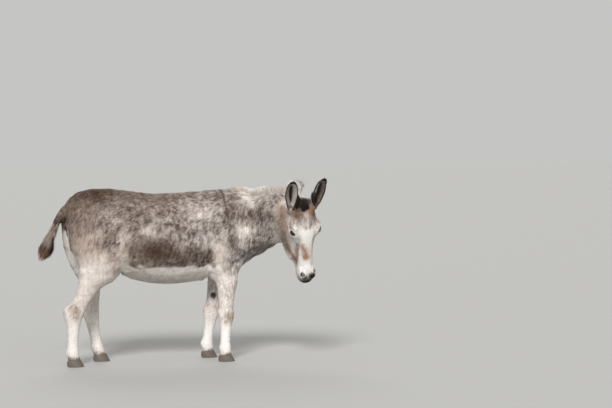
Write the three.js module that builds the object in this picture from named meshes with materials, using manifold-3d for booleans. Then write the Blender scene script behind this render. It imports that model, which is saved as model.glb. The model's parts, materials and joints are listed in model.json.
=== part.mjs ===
// A life-size standing donkey with its neck bent to its right and its face turned away from the body line.
// Millimetres. +X runs forward along the body, +Y to the animal's left, +Z up. The hooves stand on Z = 0.
// The flesh is one smooth field, made of swept sections and rounded muscles that melt into each other.
// Each body part is meshed from that field on its own grid and trimmed at the thin cuts between the parts.
import * as THREE from "three";
import { mergeVertices } from "three/addons/utils/BufferGeometryUtils.js";
import Module from "manifold-3d";

const wasm = await Module();
wasm.setup();

// ---------- driving dimensions ----------
const gap = 0.4; // the thin cut between neighbouring parts
const clearance = 0.6; // between the flesh and whatever is set on it
const stance = 118; // from the middle plane to the middle of a hoof
const pollPlace = [908, -388, 1064]; // the top of the head, between the ears
const faceTurn = -81; // degrees from +X that the face looks
const chinTuck = 2; // degrees that the nose is drawn in from plumb
const headTilt = 7; // degrees that the left ear stands higher
const eyeRadius = 21;
const eyePlace = [224, 83, 8]; // in the head's own frame, for the left eye
const earLength = 222;
const earWidth = 80;
const earWall = 6; // the thickness of an ear with its hair
const hoofLength = 104;
const hoofWidth = 82;
const toeHeight = 56;
const heelHeight = 36;
const toeSlope = 28; // how far the coronet lies behind the toe
const heelSlope = 6; // and behind the heel
const soleShift = 10; // the middle of the sole, forward of the pastern's foot

// ---------- materials ----------
const hair = (color) => new THREE.MeshStandardMaterial({ color, roughness: 0.9, metalness: 0 });
const roan = hair(0x9c8878);
const paleRoan = hair(0xb9aa9d);
const cream = hair(0xe6ddd2);
const darkHair = hair(0x4a382c);
const horn = new THREE.MeshStandardMaterial({ color: 0x4f453d, roughness: 0.6, metalness: 0 });
const eyeBrown = new THREE.MeshStandardMaterial({ color: 0x1d120c, roughness: 0.12, metalness: 0 });

// ---------- fields: negative inside, near the distance in millimetres outside ----------
const smoothUnion = (a, b, blend) => {
  const overlap = Math.max(blend - Math.abs(a - b), 0) / blend;
  return Math.min(a, b) - (overlap * overlap * blend) / 4;
};

const vector = (x, y, z) => new THREE.Vector3(x, y, z);

const melt = (blend, fields) => (p) => fields.map((f) => f(p)).reduce((a, b) => smoothUnion(a, b, blend));

// Signed distance, nearly, to a rounded section or ball of half-sizes a, b, c at the offsets u, v, w.
function roundDistance(u, v, w, a, b, c, power = 2) {
  const [ku, kv, kw] = [Math.abs(u) / a, Math.abs(v) / b, Math.abs(w) / c];
  const k = (ku ** power + kv ** power + kw ** power) ** (1 / power);
  if (k < 1e-6) return -Math.min(a, b, c);
  const slope = Math.hypot(ku ** (power - 1) / a, kv ** (power - 1) / b, kw ** (power - 1) / c);
  return ((k - 1) * k ** (power - 1)) / slope;
}

const ball = (x, y, z, a, b, c) => (p) => roundDistance(p.x - x, p.y - y, p.z - z, a, b, c);

// A tube of rounded sections along a smooth path. A station is [x, y, z, half-width, half-depth]: the width
// lies along Y as far as the path allows, the depth square to both. A positive lean narrows the upper side.
function sweep(stations, { lean = 0, power = 2, steps = 4 } = {}) {
  const path = new THREE.CatmullRomCurve3(stations.map(([x, y, z]) => vector(x, y, z)));
  const sizes = new THREE.CatmullRomCurve3(stations.map(([, , , wide, deep]) => vector(wide, deep, 0)));
  const count = steps * (stations.length - 1);
  const shares = Array.from({ length: count + 1 }, (_, i) => i / count);
  const knots = shares.map((share) => [path.getPoint(share), sizes.getPoint(share)]);
  const pieces = knots.slice(1).map(([end, endSize], i) => {
    const [start, startSize] = knots[i];
    const along = end.clone().sub(start);
    const length = along.length();
    along.normalize();
    const across = new THREE.Vector3(0, 1, 0).projectOnPlane(along).normalize();
    return { start, startSize, endSize, along, length, across, up: along.clone().cross(across) };
  });
  const offset = new THREE.Vector3();
  return (p) => {
    let [nearest, chosen, reach] = [Infinity, null, 0];
    for (const piece of pieces) {
      offset.subVectors(p, piece.start);
      const run = THREE.MathUtils.clamp(offset.dot(piece.along), 0, piece.length);
      const distance = offset.addScaledVector(piece.along, -run).lengthSq();
      if (distance < nearest) [nearest, chosen, reach] = [distance, piece, run];
    }
    const { start, startSize, endSize, along, length, across, up } = chosen;
    offset.subVectors(p, start).addScaledVector(along, -reach);
    const wide = THREE.MathUtils.lerp(startSize.x, endSize.x, reach / length);
    const deep = THREE.MathUtils.lerp(startSize.y, endSize.y, reach / length);
    const rise = offset.dot(up);
    const narrowed = wide * (1 - lean * THREE.MathUtils.clamp(rise / deep, -1, 1));
    const cap = Math.min(wide, deep);
    return roundDistance(offset.dot(across), rise, offset.dot(along), narrowed, deep, cap, power);
  };
}

// ---------- trunk ----------
// From the rump to the breast: [x, top, bottom, half-width].
const barrel = [
  [-440, 1076, 870, 92],
  [-380, 1110, 760, 150],
  [-270, 1122, 650, 190],
  [-150, 1112, 620, 212],
  [-20, 1087, 518, 226],
  [110, 1076, 495, 230],
  [230, 1078, 500, 218],
  [340, 1091, 516, 192],
  [430, 1099, 545, 166],
  [500, 1085, 585, 140],
];
const trunkField = sweep(
  barrel.map(([x, top, bottom, wide]) => [x, 0, (top + bottom) / 2, wide, (top - bottom) / 2]),
  { lean: 0.1, power: 2.15 },
);

// ---------- neck ----------
// From inside the shoulders to behind the jaw: [x, y, z, half-width, half-depth].
const neckField = sweep([
  [450, 0, 842, 140, 248],
  [560, -18, 850, 122, 240],
  [650, -62, 868, 98, 214],
  [740, -132, 900, 84, 179],
  [812, -214, 925, 78, 152],
  [866, -290, 938, 72, 136],
  [888, -340, 942, 64, 118],
]);

// ---------- legs ----------
// A leg hangs on joints, each [x, y, z] for the left side, and is swept through sections
// [bone, place along that bone, half-width, half-depth, shift forward of the bone].
function legField(joints, sections, side) {
  return sweep(sections.map(([bone, along, wide, deep, forward]) => {
    const [start, end] = joints.slice(bone, bone + 2).map((joint) => vector(...joint));
    const place = start.lerp(end, along);
    return [place.x + forward, place.y * side, place.z, wide, deep];
  }));
}

const foreSections = [
  [0, 0.0, 62, 108, 0],
  [0, 0.6, 66, 98, 0],
  [1, 0.0, 62, 84, 6],
  [1, 0.25, 56, 74, 8],
  [1, 0.5, 48, 62, 4],
  [1, 0.8, 42, 51, 0],
  [2, 0.0, 43, 54, 0],
  [2, 0.22, 35, 44, 0],
  [2, 0.5, 30, 37, 0],
  [2, 0.8, 30, 35, 0],
  [3, 0.0, 35, 40, 0],
  [3, 0.6, 35, 37, 0],
  [3, 1.0, 39, 42, 0],
];
const hindSections = [
  [0, 0.0, 94, 172, -36],
  [0, 0.5, 98, 172, -68],
  [1, 0.0, 88, 152, -100],
  [1, 0.25, 68, 108, -74],
  [1, 0.45, 54, 68, -52],
  [1, 0.7, 44, 57, -24],
  [1, 0.92, 39, 56, -4],
  [2, 0.08, 41, 55, 4],
  [2, 0.28, 35, 46, 2],
  [2, 0.5, 31, 40, 0],
  [2, 0.8, 30, 37, 0],
  [3, 0.0, 35, 42, 0],
  [3, 0.6, 35, 38, 0],
  [3, 1.0, 39, 42, 0],
];
const legs = {
  fore_right: {
    side: -1,
    sections: foreSections,
    joints: [[560, 98, 800], [482, 108, 585], [486, stance - 4, 288], [480, stance, 95], [484, stance, 30]],
  },
  fore_left: {
    side: 1,
    sections: foreSections,
    joints: [[556, 98, 800], [500, 108, 585], [446, stance - 4, 288], [420, stance, 95], [428, stance, 30]],
  },
  hind_right: {
    side: -1,
    sections: hindSections,
    joints: [[-340, 84, 915], [-228, 114, 645], [-498, stance, 320], [-502, stance, 95], [-490, stance, 30]],
  },
  hind_left: {
    side: 1,
    sections: hindSections,
    joints: [[-336, 84, 915], [-240, 114, 646], [-348, stance, 320], [-303, stance, 95], [-280, stance, 30]],
  },
};
const legFields = Object.values(legs).map(({ joints, sections, side }) => legField(joints, sections, side));
const hockPoints = [legs.hind_right, legs.hind_left].map(({ joints: [, , [x, y, z]], side }) =>
  ball(x - 40, y * side, z + 18, 20, 20, 30));

const croup = [-1, 1].map((side) => ball(-345, 55 * side, 990, 150, 100, 118));
const shoulders = [-1, 1].map((side) => sweep([
  [455, 62 * side, 1010, 60, 74],
  [510, 92 * side, 880, 72, 92],
  [560, 102 * side, 760, 72, 92],
]));

// ---------- head, in its own frame: X from poll to nose, Y to its left, Z out of the forehead ----------
const turn = THREE.MathUtils.degToRad(faceTurn);
const tuck = THREE.MathUtils.degToRad(chinTuck);
const facing = new THREE.Vector3(Math.cos(turn), Math.sin(turn), 0);
const upward = new THREE.Vector3(0, 0, 1);
const headDown = upward.clone().multiplyScalar(-Math.cos(tuck)).addScaledVector(facing, -Math.sin(tuck));
const headFront = facing.clone().multiplyScalar(Math.cos(tuck)).addScaledVector(upward, -Math.sin(tuck));
const headPlace = new THREE.Matrix4()
  .makeRotationAxis(facing, THREE.MathUtils.degToRad(headTilt))
  .multiply(new THREE.Matrix4().makeBasis(headDown, headFront.clone().cross(headDown), headFront))
  .setPosition(...pollPlace);
const headInverse = headPlace.clone().invert();

const bothSides = (make) => [make(-1), make(1)];
const headShape = melt(22, [
  sweep([ // skull, bridge of the nose and upper jaw
    [65, 0, -24, 76, 58],
    [136, 0, -12, 86, 62],
    [215, 0, -16, 84, 64],
    [295, 0, -30, 64, 60],
    [378, 0, -42, 54, 53],
    [462, 0, -50, 51, 49],
  ]),
  ball(492, 0, -56, 64, 56, 53), // muzzle
  ball(534, 0, -60, 34, 44, 38), // upper lip
  ball(498, 0, -94, 42, 46, 32), // lower lip and chin
  ball(116, 0, -100, 84, 61, 82), // throat
  ...bothSides((side) => ball(194, 78 * side, 14, 38, 28, 25)), // brow
  ...bothSides((side) => ball(224, 76 * side, 4, 32, 19, 28)), // lids
  ...bothSides((side) => ball(58, 74 * side, -8, 34, 27, 30)), // ear root
  ...bothSides((side) => ball(504, 38 * side, -27, 30, 22, 26)), // nostril wing
  ...bothSides((side) => ball(212, 58 * side, -102, 104, 32, 94)), // cheek muscle
  ...bothSides((side) => sweep([ // lower jaw
    [200, 48 * side, -112, 34, 80],
    [316, 52 * side, -124, 32, 74],
    [386, 38 * side, -112, 28, 50],
    [462, 16 * side, -96, 20, 26],
  ])),
]);
const inHead = (field) => {
  const local = new THREE.Vector3();
  return (p) => field(local.copy(p).applyMatrix4(headInverse));
};

// ---------- the whole body ----------
const body = melt(60, [melt(90, [trunkField, neckField]), ...shoulders, ...legFields.slice(0, 2)]);
const hindquarters = melt(45, [...legFields.slice(2), ...hockPoints, ...croup]);
const flesh = melt(50, [melt(40, [body, inHead(headShape)]), hindquarters]);

// ---------- from field to solid ----------
const toSolid = (positions, triangles) => new wasm.Manifold(new wasm.Mesh({
  numProp: 3,
  vertProperties: Float32Array.from(positions),
  triVerts: Uint32Array.from(triangles),
}));

// A grid face whose corners alternate between inside and outside would pinch the surface, so the outside
// corner nearer to the surface is filled.
function fillPinches(values, counts, strides) {
  const clearOfRim = (index) => strides.every((stride, axis) => {
    const place = Math.floor(index / stride) % counts[axis];
    return place > 0 && place < counts[axis] - 1;
  });
  let filled = true;
  while (filled) {
    filled = false;
    for (let home = 0; home < values.length - strides[1] - strides[2]; home++) {
      for (let axis = 0; axis < 3; axis++) {
        const [b, c] = [strides[(axis + 1) % 3], strides[(axis + 2) % 3]];
        const face = [home, home + b + c, home + b, home + c];
        const [p, q, r, s] = face.map((index) => values[index] < 0);
        if (p !== q || r !== s || p === r) continue;
        const empty = (p ? face.slice(2) : face.slice(0, 2)).filter(clearOfRim);
        if (!empty.length) continue;
        const nearer = empty.reduce((one, other) => (values[one] < values[other] ? one : other));
        values[nearer] = -0.5;
        filled = true;
      }
    }
  }
}

// Surface nets: one vertex in every grid cell that the surface crosses, moved onto the surface, and one
// four-sided face round every grid edge that it crosses. The grid's rim counts as outside.
function meshField(field, low, high, cell, place = new THREE.Matrix4()) {
  const counts = low.map((start, axis) => Math.ceil((high[axis] - start) / cell[axis]) + 1);
  const strides = [1, counts[0], counts[0] * counts[1]];
  const pointAt = (i, j, k) =>
    new THREE.Vector3(low[0] + i * cell[0], low[1] + j * cell[1], low[2] + k * cell[2]).applyMatrix4(place);
  const values = new Float64Array(counts[0] * counts[1] * counts[2]).fill(1);
  for (let k = 1; k < counts[2] - 1; k++) {
    for (let j = 1; j < counts[1] - 1; j++) {
      for (let i = 1; i < counts[0] - 1; i++) {
        values[i + j * strides[1] + k * strides[2]] = field(pointAt(i, j, k)) || 1e-6;
      }
    }
  }
  fillPinches(values, counts, strides);
  const vertexOf = new Int32Array(values.length).fill(-1);
  const [positions, swollen] = [[], []];
  const corners = [0, 1, 2, 3, 4, 5, 6, 7].map((c) => [c & 1, (c >> 1) & 1, c >> 2]);
  const edges = corners.flatMap((a, ia) => corners.slice(ia + 1).filter((b) =>
    a.filter((value, axis) => value !== b[axis]).length === 1).map((b) => [a, b]));
  const [slope, nudged] = [new THREE.Vector3(), new THREE.Vector3()];
  const nudges = [new THREE.Vector3(1, 0, 0), new THREE.Vector3(0, 1, 0), new THREE.Vector3(0, 0, 1)];
  for (let k = 0; k < counts[2] - 1; k++) {
    for (let j = 0; j < counts[1] - 1; j++) {
      for (let i = 0; i < counts[0] - 1; i++) {
        const home = i + j * strides[1] + k * strides[2];
        const valueAt = ([a, b, c]) => values[home + a + b * strides[1] + c * strides[2]];
        const crossed = edges.filter(([a, b]) => valueAt(a) < 0 !== valueAt(b) < 0);
        if (!crossed.length) continue;
        const middle = [0, 0, 0];
        for (const [a, b] of crossed) {
          const share = valueAt(a) / (valueAt(a) - valueAt(b));
          a.forEach((value, axis) => {
            middle[axis] += (value + share * (b[axis] - value)) / crossed.length;
          });
        }
        const point = pointAt(i + middle[0], j + middle[1], k + middle[2]);
        const onRim = [i, j, k].some((index, axis) => index === 0 || index === counts[axis] - 2);
        for (let round = 0; round < 2; round++) {
          const here = field(point);
          slope.set(...nudges.map((nudge) => field(nudged.addVectors(point, nudge)) - here));
          const move = THREE.MathUtils.clamp(here, -8, 8) / Math.max(slope.lengthSq(), 0.25);
          if (!onRim) point.addScaledVector(slope, -move);
        }
        vertexOf[home] = positions.length / 3;
        positions.push(point.x, point.y, point.z);
        point.addScaledVector(slope.normalize(), clearance);
        swollen.push(point.x, point.y, point.z);
      }
    }
  }
  const triangles = [];
  for (let k = 0; k < counts[2] - 1; k++) {
    for (let j = 0; j < counts[1] - 1; j++) {
      for (let i = 0; i < counts[0] - 1; i++) {
        const home = i + j * strides[1] + k * strides[2];
        for (let axis = 0; axis < 3; axis++) {
          const inside = values[home] < 0;
          if (inside === values[home + strides[axis]] < 0) continue;
          const [b, c] = [strides[(axis + 1) % 3], strides[(axis + 2) % 3]];
          const ring = [home - b - c, home - c, home, home - b].map((index) => vertexOf[index]);
          if (!inside) ring.reverse();
          triangles.push(ring[0], ring[1], ring[2], ring[0], ring[2], ring[3]);
        }
      }
    }
  }
  return { positions, swollen, triangles };
}

// A closed skin over rings of points. Each end is closed by strips from point to point across the ring.
function loft(rings) {
  const count = rings[0].length;
  const triangles = [];
  for (let ring = 0; ring < rings.length - 1; ring++) {
    for (let i = 0; i < count; i++) {
      const [a, b] = [ring * count + i, ring * count + ((i + 1) % count)];
      triangles.push(a, b, b + count, a, b + count, a + count);
    }
  }
  const last = (rings.length - 1) * count;
  for (let i = 0; i < count / 2 - 1; i++) {
    const [a, b, c, d] = [i, i + 1, count - 2 - i, count - 1 - i];
    triangles.push(a, d, c, last + a, last + c, last + d);
    if (b !== c) triangles.push(a, c, b, last + a, last + b, last + c);
  }
  const positions = rings.flat().flatMap((point) => point.toArray());
  const solid = toSolid(positions, triangles);
  return solid.volume() > 0 ? solid : toSolid(positions, triangles.toReversed());
}

// A block as large as the animal with one face on the plane, on the side that the normal points to.
const blockSize = 4000;
function blockBeyond(point, normal, offset = gap / 2) {
  const direction = new THREE.Vector3(...normal).normalize();
  const place = new THREE.Matrix4()
    .makeRotationFromQuaternion(new THREE.Quaternion().setFromUnitVectors(upward, direction))
    .setPosition(new THREE.Vector3(...point).addScaledVector(direction, blockSize / 2 + offset));
  return boxSolid([blockSize, blockSize, blockSize], place);
}

function boxSolid(size, place) {
  const box = new THREE.BoxGeometry(...size);
  box.deleteAttribute("normal");
  box.deleteAttribute("uv");
  const merged = mergeVertices(box.applyMatrix4(place));
  return toSolid(merged.attributes.position.array, merged.index.array);
}

const blockBetween = (low, high) => boxSolid(
  high.map((value, axis) => value - low[axis]),
  new THREE.Matrix4().setPosition(...high.map((value, axis) => (value + low[axis]) / 2)),
);

// ---------- scene graph ----------
const donkey = new THREE.Group();
function addPart(name, solid, material) {
  const { vertProperties, triVerts } = solid.getMesh();
  const geometry = new THREE.BufferGeometry();
  geometry.setAttribute("position", new THREE.BufferAttribute(vertProperties, 3));
  geometry.setIndex(new THREE.BufferAttribute(triVerts, 1));
  geometry.computeVertexNormals();
  const mesh = new THREE.Mesh(geometry, material);
  mesh.name = name;
  donkey.add(mesh);
}

// ---------- flesh ----------
const headAxis = (x, y, z) => new THREE.Vector3(x, y, z).transformDirection(headPlace).toArray();
const headPoint = (x, y, z) => new THREE.Vector3(x, y, z).applyMatrix4(headPlace).toArray();
const reversed = (normal) => normal.map((value) => -value);
const behindPoll = [headPoint(-20, 0, -50), headAxis(0.72, 0, 0.69)]; // a cut down from the poll
const behindJaw = [headPoint(0, 0, -212), headAxis(0, 0, 1)]; // a cut behind the corners of the jaw
const besideJaw = [headPoint(0, -128, 0), headAxis(0, 1, 0)]; // a cut beside it, where the neck bends round
const acrossNeck = [[590, 0, 850], [0.94, -0.22, 0.27]]; // a cut from the withers to the breast
const elbowHeight = 575;
const kneeTop = 332;
const stifleHeight = 632;
const hockTop = 374;

// The solid, and a slightly swollen one that trims whatever is set on it.
function fleshSolid(low, high, cell, place) {
  const { positions, swollen, triangles } = meshField(flesh, low, high, cell, place);
  return [toSolid(positions, triangles), toSolid(swollen, triangles)];
}
const beyond = ([point, normal], offset) => blockBeyond(point, normal, offset);
const before = ([point, normal]) => blockBeyond(point, reversed(normal));

const legReach = {
  fore: { low: 366, high: 720, top: elbowHeight, middle: kneeTop },
  hind: { low: -720, high: -165, top: stifleHeight, middle: hockTop },
};
const legBlock = ({ low, high, top }) => blockBetween([low - gap, -400, 0], [high, 400, top]);

const [trunkWhole, trunkCutter] = fleshSolid([-640, -320, 430], [780, 320, 1180], [66, 56, 54]);
const trunk = trunkWhole.intersect(before(acrossNeck))
  .subtract(legBlock(legReach.fore))
  .subtract(legBlock(legReach.hind));
addPart("trunk", trunk, roan);

const [neckWhole, neckCutter] = fleshSolid([430, -560, 520], [1080, 220, 1180], [46, 46, 46]);
const headCuts = [behindPoll, behindJaw, besideJaw];
const headSpace = headCuts.map((cut) => beyond(cut, -gap / 2)).reduce((a, b) => a.intersect(b));
addPart("neck", neckWhole.intersect(beyond(acrossNeck)).subtract(headSpace), roan);

const [headWhole, headCutter] = fleshSolid([-70, -160, -250], [620, 160, 100], [24, 23, 23], headPlace);
const roundBall = (radius, around, down) => {
  const geometry = new THREE.SphereGeometry(radius, around, down);
  geometry.deleteAttribute("normal");
  geometry.deleteAttribute("uv");
  return mergeVertices(geometry);
};
const placedSolid = (geometry, place) => {
  const placed = geometry.clone().applyMatrix4(place);
  return toSolid(placed.attributes.position.array, placed.index.array);
};
let head = headCuts.reduce((rest, cut) => rest.intersect(beyond(cut)), headWhole);
for (const [side, name] of [[-1, "right"], [1, "left"]]) {
  const [x, y, z] = eyePlace;
  const place = new THREE.Matrix4().setPosition(...headPoint(x, y * side, z));
  head = head.subtract(placedSolid(roundBall(eyeRadius + gap, 14, 8), place));
  addPart(`eye_${name}`, placedSolid(roundBall(eyeRadius, 14, 8), place), eyeBrown);
}
addPart("head", head, paleRoan);

// ---------- legs and hooves ----------
for (const [name, { side, joints }] of Object.entries(legs)) {
  const fore = name.startsWith("fore");
  const { low, high, top, middle } = fore ? legReach.fore : legReach.hind;
  const [, , , , [footX, footY]] = joints;
  const soleX = footX + soleShift;
  const toe = [soleX + hoofLength / 2 - toeSlope, toeHeight];
  const heel = [soleX - hoofLength / 2 - heelSlope, heelHeight];
  const coronet = [[toe[0], 0, toe[1]], [heel[1] - toe[1], 0, toe[0] - heel[0]]];

  const inner = side * gap / 2;
  const outer = side * 320;
  const span = (bottom, ceiling) => [
    [low, Math.min(inner, outer), bottom],
    [high, Math.max(inner, outer), ceiling],
  ];
  const [upperLow, upperHigh] = span(middle - 60, top + 60);
  const [upper] = fleshSolid(upperLow, upperHigh, [38, 36, 44]);
  const thigh = upper.intersect(blockBetween(...span(middle + gap / 2, top - gap / 2)));
  addPart(`${name}_upper`, thigh, paleRoan);

  const [lowerLow, lowerHigh] = span(-20, middle + 40);
  const [lower] = fleshSolid(lowerLow, lowerHigh, [22, 22, 40]);
  const shank = lower.intersect(blockBetween(...span(0, middle - gap / 2))).intersect(beyond(coronet));
  addPart(`${name}_lower`, shank, cream);

  const ring = (middleX, halfLength, halfWidth, heightAt) => Array.from({ length: 20 }, (_, i) => {
    const angle = (i / 20) * 2 * Math.PI;
    const x = middleX + halfLength * Math.cos(angle);
    return new THREE.Vector3(x, footY * side + halfWidth * Math.sin(angle), heightAt(x));
  });
  const rim = (x) => THREE.MathUtils.mapLinear(x, heel[0], toe[0], heel[1], toe[1]) - gap;
  const crown = ring((toe[0] + heel[0]) / 2, (toe[0] - heel[0]) / 2 - 2, hoofWidth / 2 - 7, rim);
  const sole = ring(soleX, hoofLength / 2, hoofWidth / 2, () => 0);
  addPart(`${name}_hoof`, loft([sole, crown]), horn);
}

// ---------- ears ----------
// Stations from root to tip: [place along the ear, half-width and depth as shares of its width, degrees that
// each rim curls round].
const earShape = [
  [0.0, 0.26, 0.34, 140],
  [0.14, 0.36, 0.38, 125],
  [0.4, 0.5, 0.38, 105],
  [0.66, 0.46, 0.32, 95],
  [0.86, 0.34, 0.21, 90],
  [0.97, 0.16, 0.11, 90],
  [1.0, 0.04, 0.05, 90],
];
const ears = {
  right: { side: -1, root: [62, 86, 2], lean: 35, splay: 8, opening: 22 },
  left: { side: 1, root: [62, 92, 2], lean: 39, splay: 2, opening: 2 },
};
const radians = THREE.MathUtils.degToRad;
for (const [name, { side, root: [x, y, z], lean, splay, opening }] of Object.entries(ears)) {
  const place = headPlace.clone()
    .multiply(new THREE.Matrix4().setPosition(x, y * side, z))
    .multiply(new THREE.Matrix4().makeRotationZ(radians(-splay * side)))
    .multiply(new THREE.Matrix4().makeRotationY(radians(lean)))
    .multiply(new THREE.Matrix4().makeRotationX(radians(-opening * side)));
  const shape = new THREE.CatmullRomCurve3(
    earShape.map(([, wide, deep, curl]) => new THREE.Vector3(wide, deep, curl)),
  );
  const along = new THREE.CatmullRomCurve3(earShape.map(([share]) => new THREE.Vector3(share, 0, 0)));
  const rings = Array.from({ length: 9 }, (_, i) => {
    const [wide, deep, curl] = shape.getPoint(i / 8).toArray();
    const reach = along.getPoint(i / 8).x * earLength;
    const wall = Math.min(earWall, 0.4 * wide * earWidth, 0.4 * deep * earWidth);
    const arc = (inset) => Array.from({ length: 7 }, (_, k) => {
      const angle = radians(curl) * (k / 3 - 1);
      const [across, back] = [wide * earWidth - inset, deep * earWidth - inset];
      return vector(-reach, across * Math.sin(angle), -back * Math.cos(angle)).applyMatrix4(place);
    });
    return [...arc(0), ...arc(wall).reverse()];
  });
  addPart(`ear_${name}`, loft(rings).subtract(headCutter).subtract(neckCutter), paleRoan);
}

// ---------- mane, forelock and tail ----------
// Stations along the crest from withers to poll: [x, y, height above the crest, half-width].
const maneLine = [
  [500, -2, 6, 12],
  [600, -30, 20, 13],
  [700, -92, 34, 14],
  [786, -176, 42, 14],
  [838, -250, 62, 15],
  [864, -294, 100, 15],
  [886, -338, 110, 14],
  [899, -364, 84, 10],
];
const crestHeight = (x, y) => {
  let [low, high] = [900, 1200];
  for (let round = 0; round < 20; round++) {
    const middle = (low + high) / 2;
    if (flesh(new THREE.Vector3(x, y, middle)) < 0) low = middle;
    else high = middle;
  }
  return low;
};
const manePath = new THREE.CatmullRomCurve3(maneLine.map(([x, y]) => vector(x, y, 0)));
const maneSize = new THREE.CatmullRomCurve3(maneLine.map(([, , tall, wide]) => vector(tall, wide, 0)));
const maneRings = Array.from({ length: 10 }, (_, i) => {
  const middle = manePath.getPoint(i / 9);
  const [tall, wide] = maneSize.getPoint(i / 9).toArray();
  const across = manePath.getTangent(i / 9).cross(upward).normalize();
  const crest = crestHeight(middle.x, middle.y);
  const outline = [[-1, -14], [1, -14], [1, 0.4 * tall], [0.5, tall], [-0.5, tall], [-1, 0.4 * tall]];
  return outline.map(([share, rise]) =>
    middle.clone().addScaledVector(across, share * wide).setZ(crest + rise));
});
const bodyCutters = [trunkCutter, neckCutter, headCutter];
const trimmed = (solid) => bodyCutters.reduce((rest, cutter) => rest.subtract(cutter), solid);
addPart("mane", trimmed(loft(maneRings)), cream);

const forelockPlace = headPlace.clone()
  .multiply(new THREE.Matrix4().compose(
    new THREE.Vector3(20, 0, 26),
    new THREE.Quaternion().setFromAxisAngle(new THREE.Vector3(0, 1, 0), radians(14)),
    new THREE.Vector3(44, 42, 24),
  ));
addPart("forelock", trimmed(placedSolid(roundBall(1, 10, 6), forelockPlace)), darkHair);

// Stations from the tail's root: [x, y, z, half-width, half-depth]. The hair below the dock is the switch.
const tailLine = [
  [-468, 0, 1036, 26, 26],
  [-513, 2, 994, 27, 29],
  [-547, 6, 950, 27, 30],
  [-574, 14, 898, 27, 30],
  [-604, 28, 832, 30, 32],
  [-622, 38, 785, 35, 38],
  [-634, 48, 738, 38, 52],
  [-654, 60, 694, 30, 38],
  [-680, 72, 650, 9, 12],
];
const switchStart = 4; // the station where the dock ends
const tailPath = new THREE.CatmullRomCurve3(tailLine.map(([x, y, z]) => vector(x, y, z)));
const tailSize = new THREE.CatmullRomCurve3(tailLine.map(([, , , wide, deep]) => vector(wide, deep, 0)));
function tailSolid(first, last, steps) {
  return loft(Array.from({ length: steps + 1 }, (_, i) => {
    const t = THREE.MathUtils.lerp(first, last, i / steps) / (tailLine.length - 1);
    const [wide, deep] = tailSize.getPoint(t).toArray();
    const tangent = tailPath.getTangent(t);
    const across = new THREE.Vector3(0, 1, 0).projectOnPlane(tangent).normalize();
    const up = tangent.clone().cross(across);
    return Array.from({ length: 10 }, (_, k) => {
      const angle = (k / 10) * 2 * Math.PI;
      return tailPath.getPoint(t)
        .addScaledVector(across, wide * Math.cos(angle))
        .addScaledVector(up, deep * Math.sin(angle));
    });
  }));
}
addPart("tail_dock", tailSolid(0, switchStart - 0.01, 7).subtract(trunkCutter), roan);
addPart("tail_switch", tailSolid(switchStart, tailLine.length - 1, 8), darkHair);

// The origin is moved to the ground below the middle of the whole animal.
const bounds = new THREE.Box3().setFromObject(donkey);
const middle = bounds.getCenter(new THREE.Vector3());
donkey.position.set(-middle.x, -middle.y, -bounds.min.z);

export default donkey;
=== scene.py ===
# A life-size donkey, standing with its neck bent round to its right. One skin stands for the flesh, with
# eyes, hooves, mane, tail and coat set on it. Metres throughout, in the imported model's own frame.
import json
import math
import bmesh
import bpy
import numpy as np
from mathutils import Matrix, Vector
from mathutils.bvhtree import BVHTree

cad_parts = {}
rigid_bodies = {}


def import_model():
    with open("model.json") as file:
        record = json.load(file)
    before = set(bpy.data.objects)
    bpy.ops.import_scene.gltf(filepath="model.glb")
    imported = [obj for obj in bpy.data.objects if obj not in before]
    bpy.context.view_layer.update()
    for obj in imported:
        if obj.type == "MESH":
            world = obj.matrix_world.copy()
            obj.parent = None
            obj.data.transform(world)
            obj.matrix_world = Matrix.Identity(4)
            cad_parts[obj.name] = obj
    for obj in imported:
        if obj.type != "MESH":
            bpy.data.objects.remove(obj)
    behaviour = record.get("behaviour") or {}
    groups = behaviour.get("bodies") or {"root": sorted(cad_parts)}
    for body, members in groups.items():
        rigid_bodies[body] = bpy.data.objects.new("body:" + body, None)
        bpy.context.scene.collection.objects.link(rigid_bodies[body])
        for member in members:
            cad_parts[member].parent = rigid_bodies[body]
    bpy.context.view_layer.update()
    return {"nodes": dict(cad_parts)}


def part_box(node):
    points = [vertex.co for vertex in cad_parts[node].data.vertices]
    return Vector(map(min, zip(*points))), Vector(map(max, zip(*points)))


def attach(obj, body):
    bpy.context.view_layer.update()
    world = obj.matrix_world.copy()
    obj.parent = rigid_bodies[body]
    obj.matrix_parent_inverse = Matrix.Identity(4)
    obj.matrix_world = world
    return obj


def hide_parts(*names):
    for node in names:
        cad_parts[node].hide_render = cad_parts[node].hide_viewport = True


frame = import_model()
print("stage: frame loaded")


# Body places are taken from the ground point below the body's middle line: x forward, y to its left, z up.
foreHoofPlace = np.array([0.492, -0.118])
lowSole, highSole = (np.array(corner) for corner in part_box("fore_right_hoof"))
groundPoint = np.append((lowSole + highSole)[:2] / 2 - foreHoofPlace, 0.0)

legJoints = {  # elbow or stifle, knee or hock, fetlock, and the pastern's foot
    "fore_right": (
        (0.482, -0.108, 0.585), (0.486, -0.114, 0.288), (0.48, -0.118, 0.095), (0.484, -0.118, 0.03),
    ),
    "fore_left": ((0.5, 0.108, 0.585), (0.446, 0.114, 0.288), (0.42, 0.118, 0.095), (0.428, 0.118, 0.03)),
    "hind_right": (
        (-0.228, -0.114, 0.645), (-0.498, -0.118, 0.32), (-0.502, -0.118, 0.095), (-0.49, -0.118, 0.03),
    ),
    "hind_left": ((-0.24, 0.114, 0.646), (-0.348, 0.118, 0.32), (-0.303, 0.118, 0.095), (-0.28, 0.118, 0.03)),
}

# Head places are taken from the poll: x down the face, y to the animal's left, z out of the forehead.
headPose = dict(turn=-81, tuck=2, tilt=7)  # degrees
eyePlace = np.array([0.224, 0.083, 0.008])
eyeRadius = 0.021


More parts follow.
